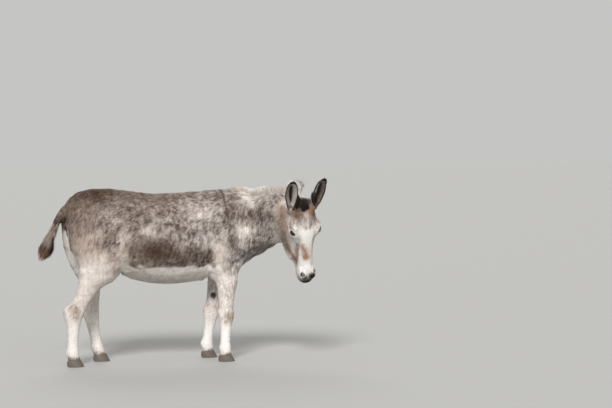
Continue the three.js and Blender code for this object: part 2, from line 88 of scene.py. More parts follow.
def headAxes():
    turn, tuck, tilt = (math.radians(headPose[key]) for key in ("turn", "tuck", "tilt"))
    facing = Vector((math.cos(turn), math.sin(turn), 0))
    up = Vector((0, 0, 1))
    down = -up * math.cos(tuck) - facing * math.sin(tuck)
    front = facing * math.cos(tuck) - up * math.sin(tuck)
    axes = Matrix((down, front.cross(down), front)).transposed()
    return np.array(Matrix.Rotation(tilt, 3, facing) @ axes)


headTurn = headAxes()
eyeMiddles = [sum(np.array(corner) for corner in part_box(name)) / 2 for name in ("eye_right", "eye_left")]
pollPoint = sum(eyeMiddles) / 2 - headTurn @ (eyePlace * (1, 0, 1))


def toBody(points):
    return points - groundPoint


def toHead(points):
    return (points - pollPoint) @ headTurn


def fromHead(places):
    return np.asarray(places, float) @ headTurn.T + pollPoint


def sideOf(leg):  # -1 on the right and 1 on the left
    return -1.0 if leg.endswith("right") else 1.0


def bothSides(places):
    return [np.array(places, float) * (1, side, 1) for side in (-1, 1)]


def unit(vectors):
    return vectors / np.maximum(np.linalg.norm(vectors, axis=-1, keepdims=True), 1e-12)


def fade(values, start, end):  # 0 at start, 1 at end, smooth between them
    share = np.clip((values - start) / (end - start), 0, 1)
    return share * share * (3 - 2 * share)


def bell(values, width):  # 1 at zero, fading to both sides
    return np.exp(-((values / width) ** 2))


def spot(points, middle, radii):  # 1 in the middle of a soft round spot, and 0 far outside it
    return np.exp(-np.sum(((points - middle) / radii) ** 2, axis=1))


def pathDistance(points, path):  # distance to a line of points, and the place along it from 0 to 1
    path = np.asarray(path, float)
    best = np.full(len(points), 1e9)
    along = np.zeros(len(points))
    for i, (start, end) in enumerate(zip(path[:-1], path[1:])):
        bone = end - start
        share = np.clip((points - start) @ bone / max(bone @ bone, 1e-12), 0, 1)
        distance = np.linalg.norm(points - start - share[:, None] * bone, axis=1)
        nearer = distance < best
        best[nearer] = distance[nearer]
        along[nearer] = (i + share[nearer]) / (len(path) - 1)
    return best, along


def ridge(points, path, width):  # 1 on the line, fading across it and towards its two ends
    distance, along = pathDistance(points, path)
    return bell(distance, width) * fade(along, -0.02, 0.15) * fade(along, 1.02, 0.85)


def pointsOf(mesh):
    flat = np.empty(len(mesh.vertices) * 3)
    mesh.vertices.foreach_get("co", flat)
    return flat.reshape(-1, 3)


def movePoints(mesh, points):
    mesh.vertices.foreach_set("co", np.ascontiguousarray(points, np.float32).ravel())
    mesh.update()


def normalsOf(mesh):
    flat = np.empty(len(mesh.vertices) * 3)
    mesh.vertex_normals.foreach_get("vector", flat)
    return flat.reshape(-1, 3)


def edgesOf(mesh):
    flat = np.empty(len(mesh.edges) * 2, int)
    mesh.edges.foreach_get("vertices", flat)
    return flat.reshape(-1, 2)


def neighbourMean(values, edges, count):
    ends = np.concatenate([edges[:, 0], edges[:, 1]])
    others = np.concatenate([edges[:, 1], edges[:, 0]])
    links = np.maximum(np.bincount(ends, minlength=count), 1)
    columns = [np.bincount(ends, weights=column[others], minlength=count) for column in values.T]
    return np.stack(columns, 1) / links[:, None]


def relax(mesh, rounds, weights=1.0, rebound=0.52):
    points = pointsOf(mesh)
    edges = edgesOf(mesh)
    strength = np.broadcast_to(weights, len(points))[:, None]
    for _ in range(rounds):
        points = points + 0.5 * strength * (neighbourMean(points, edges, len(points)) - points)
        points = points - rebound * strength * (neighbourMean(points, edges, len(points)) - points)
    movePoints(mesh, points)


def newObject(name, data):
    piece = bpy.data.objects.new(name, data)
    bpy.context.scene.collection.objects.link(piece)
    return piece


def meshFrom(name, points, faces):
    mesh = bpy.data.meshes.new(name)
    mesh.from_pydata([tuple(point) for point in points], [], [tuple(face) for face in faces])
    mesh.update()
    return mesh


def evaluatedMesh(piece):
    graph = bpy.context.evaluated_depsgraph_get()
    return bpy.data.meshes.new_from_object(piece.evaluated_get(graph))


def refine(mesh, chosen):  # splits the edges whose two ends are both chosen
    work = bmesh.new()
    work.from_mesh(mesh)
    edges = [edge for edge in work.edges if all(chosen[vert.index] for vert in edge.verts)]
    bmesh.ops.subdivide_edges(work, edges=edges, cuts=1, use_grid_fill=True)
    work.to_mesh(mesh)
    work.free()
    mesh.update()


def smoothShaded(mesh):
    mesh.polygons.foreach_set("use_smooth", np.ones(len(mesh.polygons), bool))


# The skin: one smooth surface over copies of the flesh, shaped in steps.
fleshNodes = ["trunk", "neck", "head", "eye_right", "eye_left", "tail_dock"]
fleshNodes += [f"{leg}_{part}" for leg in legJoints for part in ("upper", "lower")]
skinSizes = dict(
    voxel=0.009, swell=0.0018,
    bodyRounds=30, legRounds=6, jointRounds=24, crestRounds=40, headRounds=9,  # rounds of smoothing
)
coatDepths = dict(body=0.009, leg=0.004, head=0.0035)
bodyEdges = dict(  # where the legs leave the trunk, in body places
    foreTop=0.575, hindTop=0.6, stifleTop=0.632, foreBack=0.366, hindFront=-0.165,
)
headEdges = dict(poll=(-0.02, 0, -0.05), slope=(0.72, 0, 0.69), throat=0.212, farCheek=0.128, blend=0.03)


def looseSkin():
    work = bmesh.new()
    for name in fleshNodes:
        part = bmesh.new()
        part.from_mesh(frame["nodes"][name].data)
        bmesh.ops.remove_doubles(part, verts=part.verts, dist=1e-5)
        part.normal_update()
        for vert in part.verts:
            vert.co += vert.normal * skinSizes["swell"]
        copy = bpy.data.meshes.new(name)
        part.to_mesh(copy)
        part.free()
        work.from_mesh(copy)
        bpy.data.meshes.remove(copy)
    mesh = bpy.data.meshes.new("loose")
    work.to_mesh(mesh)
    work.free()
    loose = newObject("loose", mesh)
    remesh = loose.modifiers.new("remesh", "REMESH")
    remesh.mode = "VOXEL"
    remesh.voxel_size = skinSizes["voxel"]
    skin = evaluatedMesh(loose)
    bpy.data.objects.remove(loose)
    return skin


def headShare(points):  # 1 on the head, fading to 0 on the neck
    place = toHead(points)
    behindPoll = (place - headEdges["poll"]) @ headEdges["slope"]
    edge = np.minimum(behindPoll, place[:, 2] + headEdges["throat"])
    edge = np.minimum(edge, place[:, 1] + headEdges["farCheek"])
    return fade(edge, -headEdges["blend"], headEdges["blend"])


def legShare(points):  # 1 on the free legs, fading to 0 on the trunk
    place = toBody(points)
    top = np.where(place[:, 0] > 0, bodyEdges["foreTop"], bodyEdges["hindTop"])
    return fade(place[:, 2], top + 0.06, top - 0.08) * (1 - headShare(points))


def trunkShare(points):
    return (1 - legShare(points)) * (1 - headShare(points))


def nearCut(points):  # 1 where a leg joins the trunk and where the neck meets the jaw
    place = toBody(points)
    top = np.where(place[:, 0] > 0, bodyEdges["foreTop"], bodyEdges["stifleTop"])
    edge = np.where(place[:, 0] > 0, bodyEdges["foreBack"], bodyEdges["hindFront"])
    leg = bell(place[:, 2] - top, 0.05) + bell(place[:, 0] - edge, 0.04) * (place[:, 2] < top)
    head = headShare(points)
    return np.clip(leg * (np.abs(place[:, 0]) < 0.75) * (head < 0.1) + 4 * head * (1 - head), 0, 1)


def crestShare(points):  # 1 along the top of the neck, where the mane grows
    place = toBody(points)
    return fade(place[:, 0], 0.5, 0.6) * fade(place[:, 2], 0.99, 1.03) * (1 - headShare(points))


def eyeDistance(points):  # metres from the nearer eyeball's middle
    places = toHead(points)
    return np.minimum(*[np.linalg.norm(places - middle, axis=1) for middle in bothSides(eyePlace)])


skinMesh = looseSkin()
relax(skinMesh, skinSizes["bodyRounds"], trunkShare(pointsOf(skinMesh)))
relax(skinMesh, skinSizes["legRounds"], legShare(pointsOf(skinMesh)))
relax(skinMesh, skinSizes["jointRounds"], nearCut(pointsOf(skinMesh)))
relax(skinMesh, skinSizes["crestRounds"], crestShare(pointsOf(skinMesh)), rebound=0.42)
refine(skinMesh, headShare(pointsOf(skinMesh)) > 0.6)
relax(skinMesh, skinSizes["headRounds"], headShare(pointsOf(skinMesh)))


def pullIn(mesh):
    points = pointsOf(mesh)
    head, leg = headShare(points), legShare(points)
    depth = coatDepths["head"] * head + coatDepths["leg"] * leg + coatDepths["body"] * (1 - head - leg)
    movePoints(mesh, points - normalsOf(mesh) * depth[:, None])


pullIn(skinMesh)
relax(skinMesh, 2)
print("stage: smooth skin")


# Each shape is a spot's place or a line of places, its radii or width, and the height that it adds.
def raised(points, shapes):
    height = np.zeros(len(points))
    for place, size, amount in shapes:
        place = np.array(place, float)
        height += amount * (spot(points, place, size) if place.ndim == 1 else ridge(points, place, size))
    return height


def mirrored(shapes):
    flip = np.array((1, -1, 1))
    return shapes + [(np.array(place) * flip, size, amount) for place, size, amount in shapes]


bodyForms = mirrored([  # places for the left side
    ((0.6, 0.13, 0.735), (0.05, 0.05, 0.06), 0.01),  # point of the shoulder
    (((0.47, 0.1, 1.03), (0.52, 0.135, 0.93), (0.575, 0.15, 0.8)), 0.03, 0.006),  # spine of the blade
    (((0.35, 0.16, 1.01), (0.385, 0.19, 0.86), (0.41, 0.2, 0.69)), 0.035, -0.008),  # behind the blade
    ((0.445, 0.17, 0.605), (0.035, 0.06, 0.035), 0.012),  # elbow
    (((0.61, 0.14, 0.69), (0.56, 0.16, 0.64), (0.5, 0.17, 0.61)), 0.02, -0.006),  # under the triceps
    ((-0.205, 0.185, 1.01), (0.045, 0.05, 0.035), 0.013),  # point of the hip
    ((-0.13, 0.19, 0.935), (0.06, 0.09, 0.075), -0.01),  # hollow of the flank
    (((-0.215, 0.18, 0.68), (-0.13, 0.19, 0.64), (-0.03, 0.2, 0.61)), 0.028, 0.008),  # fold of the flank
    ((-0.2, 0.175, 0.69), (0.045, 0.06, 0.05), 0.008),  # stifle
    (((-0.38, 0.12, 1.01), (-0.43, 0.15, 0.9), (-0.42, 0.15, 0.76)), 0.018, -0.006),  # back of the thigh
]) + [
    (((-0.56, 0, 0.9), (-0.52, 0, 0.8), (-0.44, 0, 0.69)), 0.022, -0.02),  # between the buttocks
    (((0.64, 0, 0.86), (0.66, 0, 0.76), (0.6, 0, 0.6)), 0.025, -0.006),  # down the middle of the breast
    (((0.52, -0.008, 1.09), (0.6, -0.03, 1.07), (0.7, -0.092, 1.045), (0.786, -0.176, 1.048),
      (0.85, -0.27, 1.055)), 0.03, 0.015),  # crest
]

backRise = [  # place along the body and how far the top of the back moves up
    (-0.4, 0.0), (-0.33, 0.004), (-0.268, 0.0075), (-0.242, 0.0065), (-0.208, -0.001), (-0.17, -0.0095),
    (-0.133, -0.013), (-0.096, -0.011), (-0.059, -0.0105), (-0.022, -0.001), (0.015, 0.007), (0.053, 0.012),
    (0.091, 0.0075), (0.13, 0.0045), (0.208, 0.0055), (0.248, 0.003), (0.289, 0.002), (0.329, -0.002),
    (0.37, -0.009), (0.415, -0.01), (0.455, -0.009), (0.5, -0.006), (0.56, 0.0),
]
chestnutPlace = np.array((0.006, 0.036, 0.125))  # above the knee, on its inner side


def legForms(leg):
    joint, foot, pastern = (np.array(place) for place in legJoints[leg][1:])
    fore = leg.startswith("fore")
    cannon = foot - joint
    shapes = []
    if fore:
        shapes.append((joint + (0.04, 0, 0.012), (0.02, 0.035, 0.032), 0.004))  # front of the knee
        shapes.append((joint + (-0.048, 0, 0.03), (0.016, 0.02, 0.022), 0.009))  # back of the knee
    else:
        shapes.append((joint + (-0.05, 0, 0.05), (0.02, 0.02, 0.03), 0.006))  # point of the hock
        for side in (-1, 1):  # hollow before the hock's tendon
            shapes.append((joint + (0.002, 0.035 * side, 0.105), (0.02, 0.03, 0.045), -0.009))
            shapes.append((joint + (0.014, 0.04 * side, 0.0), (0.022, 0.02, 0.026), 0.005))
    for side in (-1, 1):  # groove between the cannon bone and the tendons, and the fetlock's two sides
        line = [joint + cannon * share + (-0.01, 0.032 * side, 0) for share in (0.22, 0.5, 0.82)]
        shapes.append((line, 0.008, -0.0035))
        shapes.append((foot + (-0.006, 0.034 * side, 0.0), (0.022, 0.016, 0.02), 0.003))
    shapes.append((foot + (-0.04, 0, -0.004), (0.016, 0.02, 0.018), 0.006))  # back of the fetlock
    shapes.append((pastern + (0, 0, 0.028), (0.06, 0.06, 0.01), 0.002))  # the coronet
    if fore:
        shapes.append((joint + chestnutPlace * (1, -sideOf(leg), 1), (0.012, 0.02, 0.016), 0.0025))
    return shapes


for leg in legJoints:
    bodyForms += legForms(leg)

headForms = mirrored([  # places for the left side
    ((0.228, 0.086, 0.002), (0.044, 0.034, 0.036), 0.009),  # round the eye
    ((0.074, 0.096, -0.006), (0.03, 0.026, 0.028), 0.013),  # round the ear's root
    # arch of the cheek bone
    (((0.262, 0.09, -0.02), (0.2, 0.098, -0.03), (0.13, 0.088, -0.04)), 0.017, 0.007),
    # crest of the cheek
    (((0.255, 0.078, -0.004), (0.305, 0.066, -0.03), (0.355, 0.056, -0.052)), 0.012, 0.004),
    # under the nose bone
    (((0.26, 0.052, 0.018), (0.32, 0.044, 0.002), (0.4, 0.038, -0.01)), 0.014, -0.0035),
    # edge of the nose bone
    (((0.215, 0.034, 0.05), (0.32, 0.024, 0.024), (0.43, 0.022, 0.004)), 0.012, 0.0012),
    ((0.17, 0.064, 0.04), (0.022, 0.02, 0.018), -0.003),  # hollow above the eye
    (((0.186, 0.072, 0.038), (0.208, 0.09, 0.032), (0.238, 0.091, 0.027)), 0.014, 0.009),  # brow
    (((0.29, 0.078, -0.15), (0.35, 0.066, -0.135), (0.415, 0.056, -0.11)), 0.026, 0.011),  # side of the jaw
    (((0.3, 0.06, -0.19), (0.24, 0.07, -0.205), (0.16, 0.08, -0.18)), 0.018, 0.004),  # angle of the jaw
    ((0.455, 0.034, -0.01), (0.016, 0.013, 0.014), -0.006),  # above the nostril
    (((0.47, 0.04, -0.075), (0.5, 0.04, -0.086), (0.52, 0.03, -0.084)), 0.007, 0.002),  # lip's edge
    (((0.12, 0.066, 0.0), (0.15, 0.078, -0.02), (0.17, 0.088, -0.05)), 0.012, 0.003),  # temple
]) + [
    (((0.52, 0, -0.008), (0.545, 0, -0.02), (0.562, 0, -0.045)), 0.006, -0.003),  # parting of the upper lip
    (((0.06, 0, 0.04), (0.12, 0, 0.05), (0.17, 0, 0.05)), 0.01, 0.002),  # ridge of the forehead
    ((0.505, 0, -0.128), (0.022, 0.024, 0.012), 0.005),  # chin
]


def headTree(mesh):  # for finding the nearest place on the head's skin
    work = bmesh.new()
    work.from_mesh(mesh)
    others = [vert for vert, share in zip(work.verts, headShare(pointsOf(mesh))) if share < 0.3]
    bmesh.ops.delete(work, geom=others, context="VERTS")
    tree = BVHTree.FromBMesh(work)
    work.free()
    return tree


def laidOn(tree, places):
    return toHead(np.array([tree.find_nearest(Vector(point))[0] for point in fromHead(places)]))


backRiseEdge = dict(width=0.13, low=0.96, high=1.05)
rearRidge = dict(  # between the buttocks, with the body places where it fades in and out
    width=0.018, height=0.026, foot=(0.755, 0.8), top=(0.905, 0.875),
    front=(-0.4, -0.44), tail=(-0.53, -0.51),
)


def middleRise(body, normals):  # how far the back and the ridge between the buttocks move outward
    rise = np.interp(body[:, 0], *zip(*backRise))
    rise *= (bell(body[:, 1], backRiseEdge["width"])
             * fade(body[:, 2], backRiseEdge["low"], backRiseEdge["high"]))
    rear = bell(body[:, 1], rearRidge["width"]) * fade(body[:, 2], *rearRidge["foot"])
    rear *= (fade(body[:, 2], *rearRidge["top"]) * fade(-normals[:, 0], 0.1, 0.5)
             * fade(body[:, 0], *rearRidge["front"]))
    rear *= fade(body[:, 0], *rearRidge["tail"])
    return rise + rearRidge["height"] * rear


def sculptForms(mesh):
    points, normals = pointsOf(mesh), normalsOf(mesh)
    head = headShare(points)
    tree = headTree(mesh)
    laid = [(laidOn(tree, place) if np.ndim(place) > 1 else place, *rest) for place, *rest in headForms]
    body = toBody(points)
    height = (raised(body, bodyForms) + middleRise(body, normals)) * (1 - head)
    height += raised(toHead(points), laid) * head
    movePoints(mesh, points + normals * height[:, None])


sculptForms(skinMesh)
print("stage: muscles and bones")


eyeShape = dict(
    axis=(0.07, 0.89, 0.45),  # where the left eye looks, in head places
    corner=(0.62, -0.3, 0.6),  # towards the eye's inner corner
    halfLength=0.88, upper=0.45, lower=0.29,  # the opening between the lids, in radians round the ball
    socket=0.004,  # how far the skin sinks behind the ball
    orbit=0.0058,  # how far it stands over the ball round the lids
    cornea=0.62, corneaRise=0.0016,
)
lidSection = [  # radians outward from the lids' edge, and height over the ball
    (0.0, 0.0002), (-0.012, 0.0009), (0.0, 0.0016), (0.045, 0.0023), (0.12, 0.003), (0.2, 0.0037),
    (0.28, 0.0043), (0.36, 0.0049), (0.48, 0.0056), (0.62, 0.0061),
    (0.8, 0.0062), (0.95, 0.0052), (1.1, 0.0014),
    (0.7, 0.0002),
]
lidFold = dict(place=0.26, width=0.055, depth=0.0022)  # the crease of the upper lid


def eyeFrame(side):  # columns: out of the eye, towards the inner corner, towards the upper lid
    flip = np.array((1, side, 1))
    axis = unit(np.array(eyeShape["axis"]) * flip)
    corner = np.array(eyeShape["corner"]) * flip
    corner = unit(corner - axis * (corner @ axis))
    upward = np.cross(axis, corner)
    upward *= -np.sign(upward[0])
    return np.stack([axis, corner, upward], 1)


def lidEdge(turn):  # the opening's outline as angles round the ball, and the way out from it
    height = np.where(np.sin(turn) > 0, eyeShape["upper"], eyeShape["lower"])

    def edge(angle):
        rise = np.sign(np.sin(angle)) * np.abs(np.sin(angle)) ** 1.35
        return np.stack([eyeShape["halfLength"] * np.cos(angle), height * rise], -1)

    along = edge(turn + 0.01) - edge(turn - 0.01)
    return edge(turn), unit(np.stack([along[:, 1], -along[:, 0]], -1))


def onBall(side, angles, height):  # head places over the eyeball
    across, rise = angles[..., 0], angles[..., 1]
    local = np.stack([np.cos(rise) * np.cos(across), np.cos(rise) * np.sin(across), np.sin(rise)], -1)
    reach = (eyeRadius + height)[..., None] if np.ndim(height) else eyeRadius + height
    return local * reach @ eyeFrame(side).T + eyePlace * (1, side, 1)


def ringFaces(rings, count, closed):  # four-sided faces between rings of points
    faces = []
    for ring in range(rings if closed else rings - 1):
        low, high = ring * count, (ring + 1) % rings * count
        faces += [(low + i, low + (i + 1) % count, high + (i + 1) % count, high + i) for i in range(count)]
    return faces


def lidMesh(side, count=64):
    turns = np.arange(count) / count * 2 * math.pi
    edge, outward = lidEdge(turns)
    rings = []
    for out, height in lidSection:
        crease = lidFold["depth"] * math.exp(-(((out - lidFold["place"]) / lidFold["width"]) ** 2))
        heights = height - min(crease, height * 0.6) * fade(np.sin(turns), -0.5, 0.6)
        rings.append(onBall(side, edge + outward * out, heights))
    points = fromHead(np.concatenate(rings))
    mesh = meshFrom("lids", points, ringFaces(len(rings), count, True))
    outwardFacing(mesh)
    return mesh


def outwardFacing(mesh):
    work = bmesh.new()
    work.from_mesh(mesh)
    bmesh.ops.recalc_face_normals(work, faces=work.faces)
    work.to_mesh(mesh)
    work.free()
    mesh.update()


def sinkSockets(mesh):  # the skin goes behind each eyeball, under the lids
    points = pointsOf(mesh)
    places = toHead(points)
    edge = lidEdge(np.linspace(0, 2 * math.pi, 96, endpoint=False))[0]
    for side in (-1, 1):
        offset = places - eyePlace * (1, side, 1)
        reach = np.linalg.norm(offset, axis=1)
        local = offset @ eyeFrame(side)
        near = (reach < 0.05) & (local[:, 0] > 0)
        rise = np.arcsin(np.clip(local[:, 2] / reach, -1, 1))
        angles = np.stack([np.arctan2(local[:, 1], local[:, 0]), rise], -1)
        out = np.full(len(points), 9.0)
        gaps = angles[near][:, None] - edge[None]
        distance = np.linalg.norm(gaps, axis=2).min(1)
        across = np.clip(angles[near][:, 0] / eyeShape["halfLength"], -1, 1)
        top = np.where(angles[near][:, 1] > 0, eyeShape["upper"], eyeShape["lower"])
        within = np.abs(angles[near][:, 1]) < top * (1 - across ** 2) ** 0.675
        out[near] = np.where(within, -distance, distance)
        share = fade(out, 0.42, 0.64)
        floor = eyeRadius + eyeShape["orbit"] - 0.012 * np.maximum(out - 0.75, 0) ** 1.5
        target = (eyeRadius - eyeShape["socket"]) * (1 - share) + np.maximum(reach, floor) * share
        moved = offset * (target / np.maximum(reach, 1e-6))[:, None]
        places = np.where((near & (out < 1.6))[:, None], moved + eyePlace * (1, side, 1), places)
    movePoints(mesh, fromHead(places))


# Ears: each is a thin leaf rolled into a tube at its root and open to its front.
earShape = dict(length=0.222, width=0.08, inset=0.0012, wall=0.0034, floorDepth=0.026, rings=30, around=17)
# Place from root to tip, half-width and depth as shares of the width, and degrees that each rim curls.
earSections = [
    (-0.2, 0.1, 0.14, 160), (-0.1, 0.17, 0.24, 155), (0.0, 0.25, 0.32, 150), (0.14, 0.36, 0.38, 128),
    (0.4, 0.5, 0.38, 105),
    (0.66, 0.46, 0.32, 95), (0.86, 0.34, 0.21, 90), (0.97, 0.16, 0.11, 90), (1.0, 0.04, 0.05, 90),
]
earSets = {  # root in head places, and degrees
    -1: dict(root=(0.062, 0.086, 0.002), lean=35, splay=8, opening=22),
    1: dict(root=(0.062, 0.092, 0.002), lean=39, splay=2, opening=2),
}


def earFrame(side):
    pose = earSets[side]
    turn = Matrix.Rotation(math.radians(-pose["splay"] * side), 3, "Z")
    turn = turn @ Matrix.Rotation(math.radians(pose["lean"]), 3, "Y")
    turn = turn @ Matrix.Rotation(math.radians(-pose["opening"] * side), 3, "X")
    return np.array(turn), np.array(pose["root"]) * (1, side, 1)


def smoothTable(rows, places):  # a smooth curve through a table whose first column is the place
    rows = np.array(rows, float)
    slopes = np.gradient(rows[:, 1:], rows[:, 0], axis=0)
    index = np.clip(np.searchsorted(rows[:, 0], places) - 1, 0, len(rows) - 2)
    start, end = rows[index, 0], rows[index + 1, 0]
    span = (end - start)[:, None]
    t = ((places - start) / (end - start))[:, None]
    low, high = rows[index, 1:], rows[index + 1, 1:]
    lowSlope, highSlope = slopes[index] * span, slopes[index + 1] * span
    return ((2 * t**3 - 3 * t**2 + 1) * low + (t**3 - 2 * t**2 + t) * lowSlope
            + (3 * t**2 - 2 * t**3) * high + (t**3 - t**2) * highSlope)


def earLocal(places, side, least=-0.2, most=1.0):  # places on an ear's own axes, and its section there
    turn, root = earFrame(side)
    local = (places - root) @ turn
    along = -local[:, 0] / earShape["length"]
    wide, deep, curl = smoothTable(earSections, np.clip(along, least, most)).T
    return local, along, wide, deep, curl


def earPoint(side, place, rim, inset):  # rim runs from -1 to 1 across the ear
    turn, root = earFrame(side)
    wide, deep, curl = smoothTable(earSections, place).T
    angle = np.radians(curl) * rim
    across = np.maximum(wide * earShape["width"] - inset, 0.0006)
    back = np.maximum(deep * earShape["width"] - inset, 0.0006)
    tipTurn = 0.01 * fade(place, 0.7, 1.0)
    height = tipTurn - back * np.cos(angle)
    local = np.stack([-place * earShape["length"], across * np.sin(angle), height], -1)
    return local @ turn.T + root


def earMesh(side):
    places = np.concatenate([np.linspace(-0.2, 0.9, earShape["rings"] - 8), np.linspace(0.915, 0.995, 8)])
    rims = np.linspace(-1, 1, earShape["around"])
    rings = []
    for place in places:
        deep = float(smoothTable(earSections, np.array([place]))[0, 1])
        wall = min(earShape["wall"], 0.35 * deep * earShape["width"])
        rim = np.full(len(rims), place)
        outer = earPoint(side, rim, rims, earShape["inset"])
        inner = earPoint(side, rim, rims[::-1] * 0.985, earShape["inset"] + wall)
        rings.append(np.concatenate([outer, inner]))
    count = len(rings[0])
    points = fromHead(np.concatenate(rings))
    faces = ringFaces(len(rings), count, False)
    for base in (0, (len(rings) - 1) * count):
        last = base + count - 1
        faces += [(base + i, base + i + 1, last - 1 - i, last - i) for i in range(len(rims) - 1)]
    mesh = meshFrom("ear", points, faces)
    outwardFacing(mesh)
    return mesh


def insideEar(local, wide, deep):  # below 1 within the ear's tube
    return (local[:, 1] / (wide * earShape["width"])) ** 2 + (local[:, 2] / (deep * earShape["width"])) ** 2


def sinkEarFloors(mesh):  # the skull inside each ear's tube sinks out of sight
    places = toHead(pointsOf(mesh))
    for side in earSets:
        turn, root = earFrame(side)
        local, along, wide, deep, _ = earLocal(places, side, -0.15, 0.6)
        share = fade(insideEar(local, wide, deep), 1.6, 0.3) * fade(along, -0.14, -0.02) * (along < 0.6)
        local[:, 0] += earShape["floorDepth"] * share
        places = local @ turn.T + root
    movePoints(mesh, fromHead(places))


noseShape = dict(
    nostril=((0.464, 0.026, 0.0), (0.47, 0.038, 0.0), (0.485, 0.045, 0.0),
             (0.5, 0.043, 0.0), (0.508, 0.033, 0.0)),
    nostrilWidth=0.0062, nostrilDepth=0.016, rimPlace=0.01, rimWidth=0.012, rimHeight=0.0022,
    mouth=((0.47, 0.05, -0.098), (0.5, 0.05, -0.094), (0.525, 0.042, -0.088),
           (0.545, 0.024, -0.084), (0.552, 0.0, -0.084)),
    mouthWidth=0.0034, mouthDepth=0.006, lipPlace=0.009, lipWidth=0.005, lipHeight=0.0022,
)


def sculptNose(mesh):
    places, normals = toHead(pointsOf(mesh)), normalsOf(mesh)
    tree = headTree(mesh)
    height = np.zeros(len(places))
    for side in (-1, 1):
        nostril = laidOn(tree, np.array(noseShape["nostril"]) * (1, side, 1))
        distance, along = pathDistance(places, nostril)
        taper = 0.12 + 0.88 * fade(along, 0.25, 0.75)
        height += noseShape["rimHeight"] * bell(distance - noseShape["rimPlace"], 0.5 * noseShape["rimWidth"])
        opening = fade(distance, noseShape["nostrilWidth"] * 1.5 * taper, 0.001)
        height -= noseShape["nostrilDepth"] * taper * opening
        mouth = laidOn(tree, np.array(noseShape["mouth"]) * (1, side, 1))
        distance, along = pathDistance(places, mouth)
        ends = fade(along, -0.05, 0.12)
        height -= noseShape["mouthDepth"] * bell(distance, noseShape["mouthWidth"]) * ends
        lip = noseShape["lipHeight"] * bell(distance - noseShape["lipPlace"], noseShape["lipWidth"])
        height += lip * ends
    movePoints(mesh, pointsOf(mesh) + normals * height[:, None])


def noseDistance(mesh):  # metres from the nearest nostril or from the mouth's line, for the skin's points
    tree, places = headTree(mesh), toHead(pointsOf(mesh))
    lines = [np.array(noseShape[key]) * (1, side, 1) for key in ("nostril", "mouth") for side in (-1, 1)]
    return np.min([pathDistance(places, laidOn(tree, line))[0] for line in lines], axis=0)


def unite(mesh, parts):
    whole = newObject("whole", mesh)
    for part in parts:
        tool = newObject("tool", part)
        union = whole.modifiers.new("union", "BOOLEAN")
        union.operation = "UNION"
        union.solver = "EXACT"
        union.object = tool
    result = evaluatedMesh(whole)
    for piece in list(bpy.data.objects):
        if piece.name.startswith(("whole", "tool")):
            bpy.data.objects.remove(piece)
    return result


refine(skinMesh, eyeDistance(pointsOf(skinMesh)) < 0.045)
refine(skinMesh, noseDistance(skinMesh) < 0.022)
relax(skinMesh, 3, headShare(pointsOf(skinMesh)))
sinkSockets(skinMesh)
sinkEarFloors(skinMesh)
refine(skinMesh, noseDistance(skinMesh) < 0.011)
relax(skinMesh, 2, headShare(pointsOf(skinMesh)) * fade(toHead(pointsOf(skinMesh))[:, 0], 0.4, 0.44))
sculptNose(skinMesh)
relax(skinMesh, 2, fade(toHead(pointsOf(skinMesh))[:, 0], 0.42, 0.44) * headShare(pointsOf(skinMesh)))
skinMesh = unite(skinMesh, [lidMesh(-1), lidMesh(1), earMesh(-1), earMesh(1)])


def earPlace(points):  # how far along an ear, from root to tip, or -1 away from the ears
    places = toHead(points)
    best = np.full(len(points), -1.0)
    for side in earSets:
        local, along, wide, deep, _ = earLocal(places, side)
        best = np.where((insideEar(local, wide, deep) < 1.9) & (along > -0.2) & (along < 1.05), along, best)
    return best


def softenJoins(mesh):
    points = pointsOf(mesh)
    reach, along = eyeDistance(points), earPlace(points)
    lids = fade(reach, eyeRadius + 0.0045, eyeRadius + 0.0053) * fade(reach, 0.048, 0.036)
    earRoots = bell(along - 0.02, 0.05) * (along > -1)
    relax(mesh, 8, np.clip(lids * 0.9 + earRoots * 0.8, 0, 1), rebound=0.44)


softenJoins(skinMesh)
triangleCount = sum(len(face.vertices) - 2 for face in skinMesh.polygons)
print(f"stage: skin with lids and ears, {triangleCount} triangles")


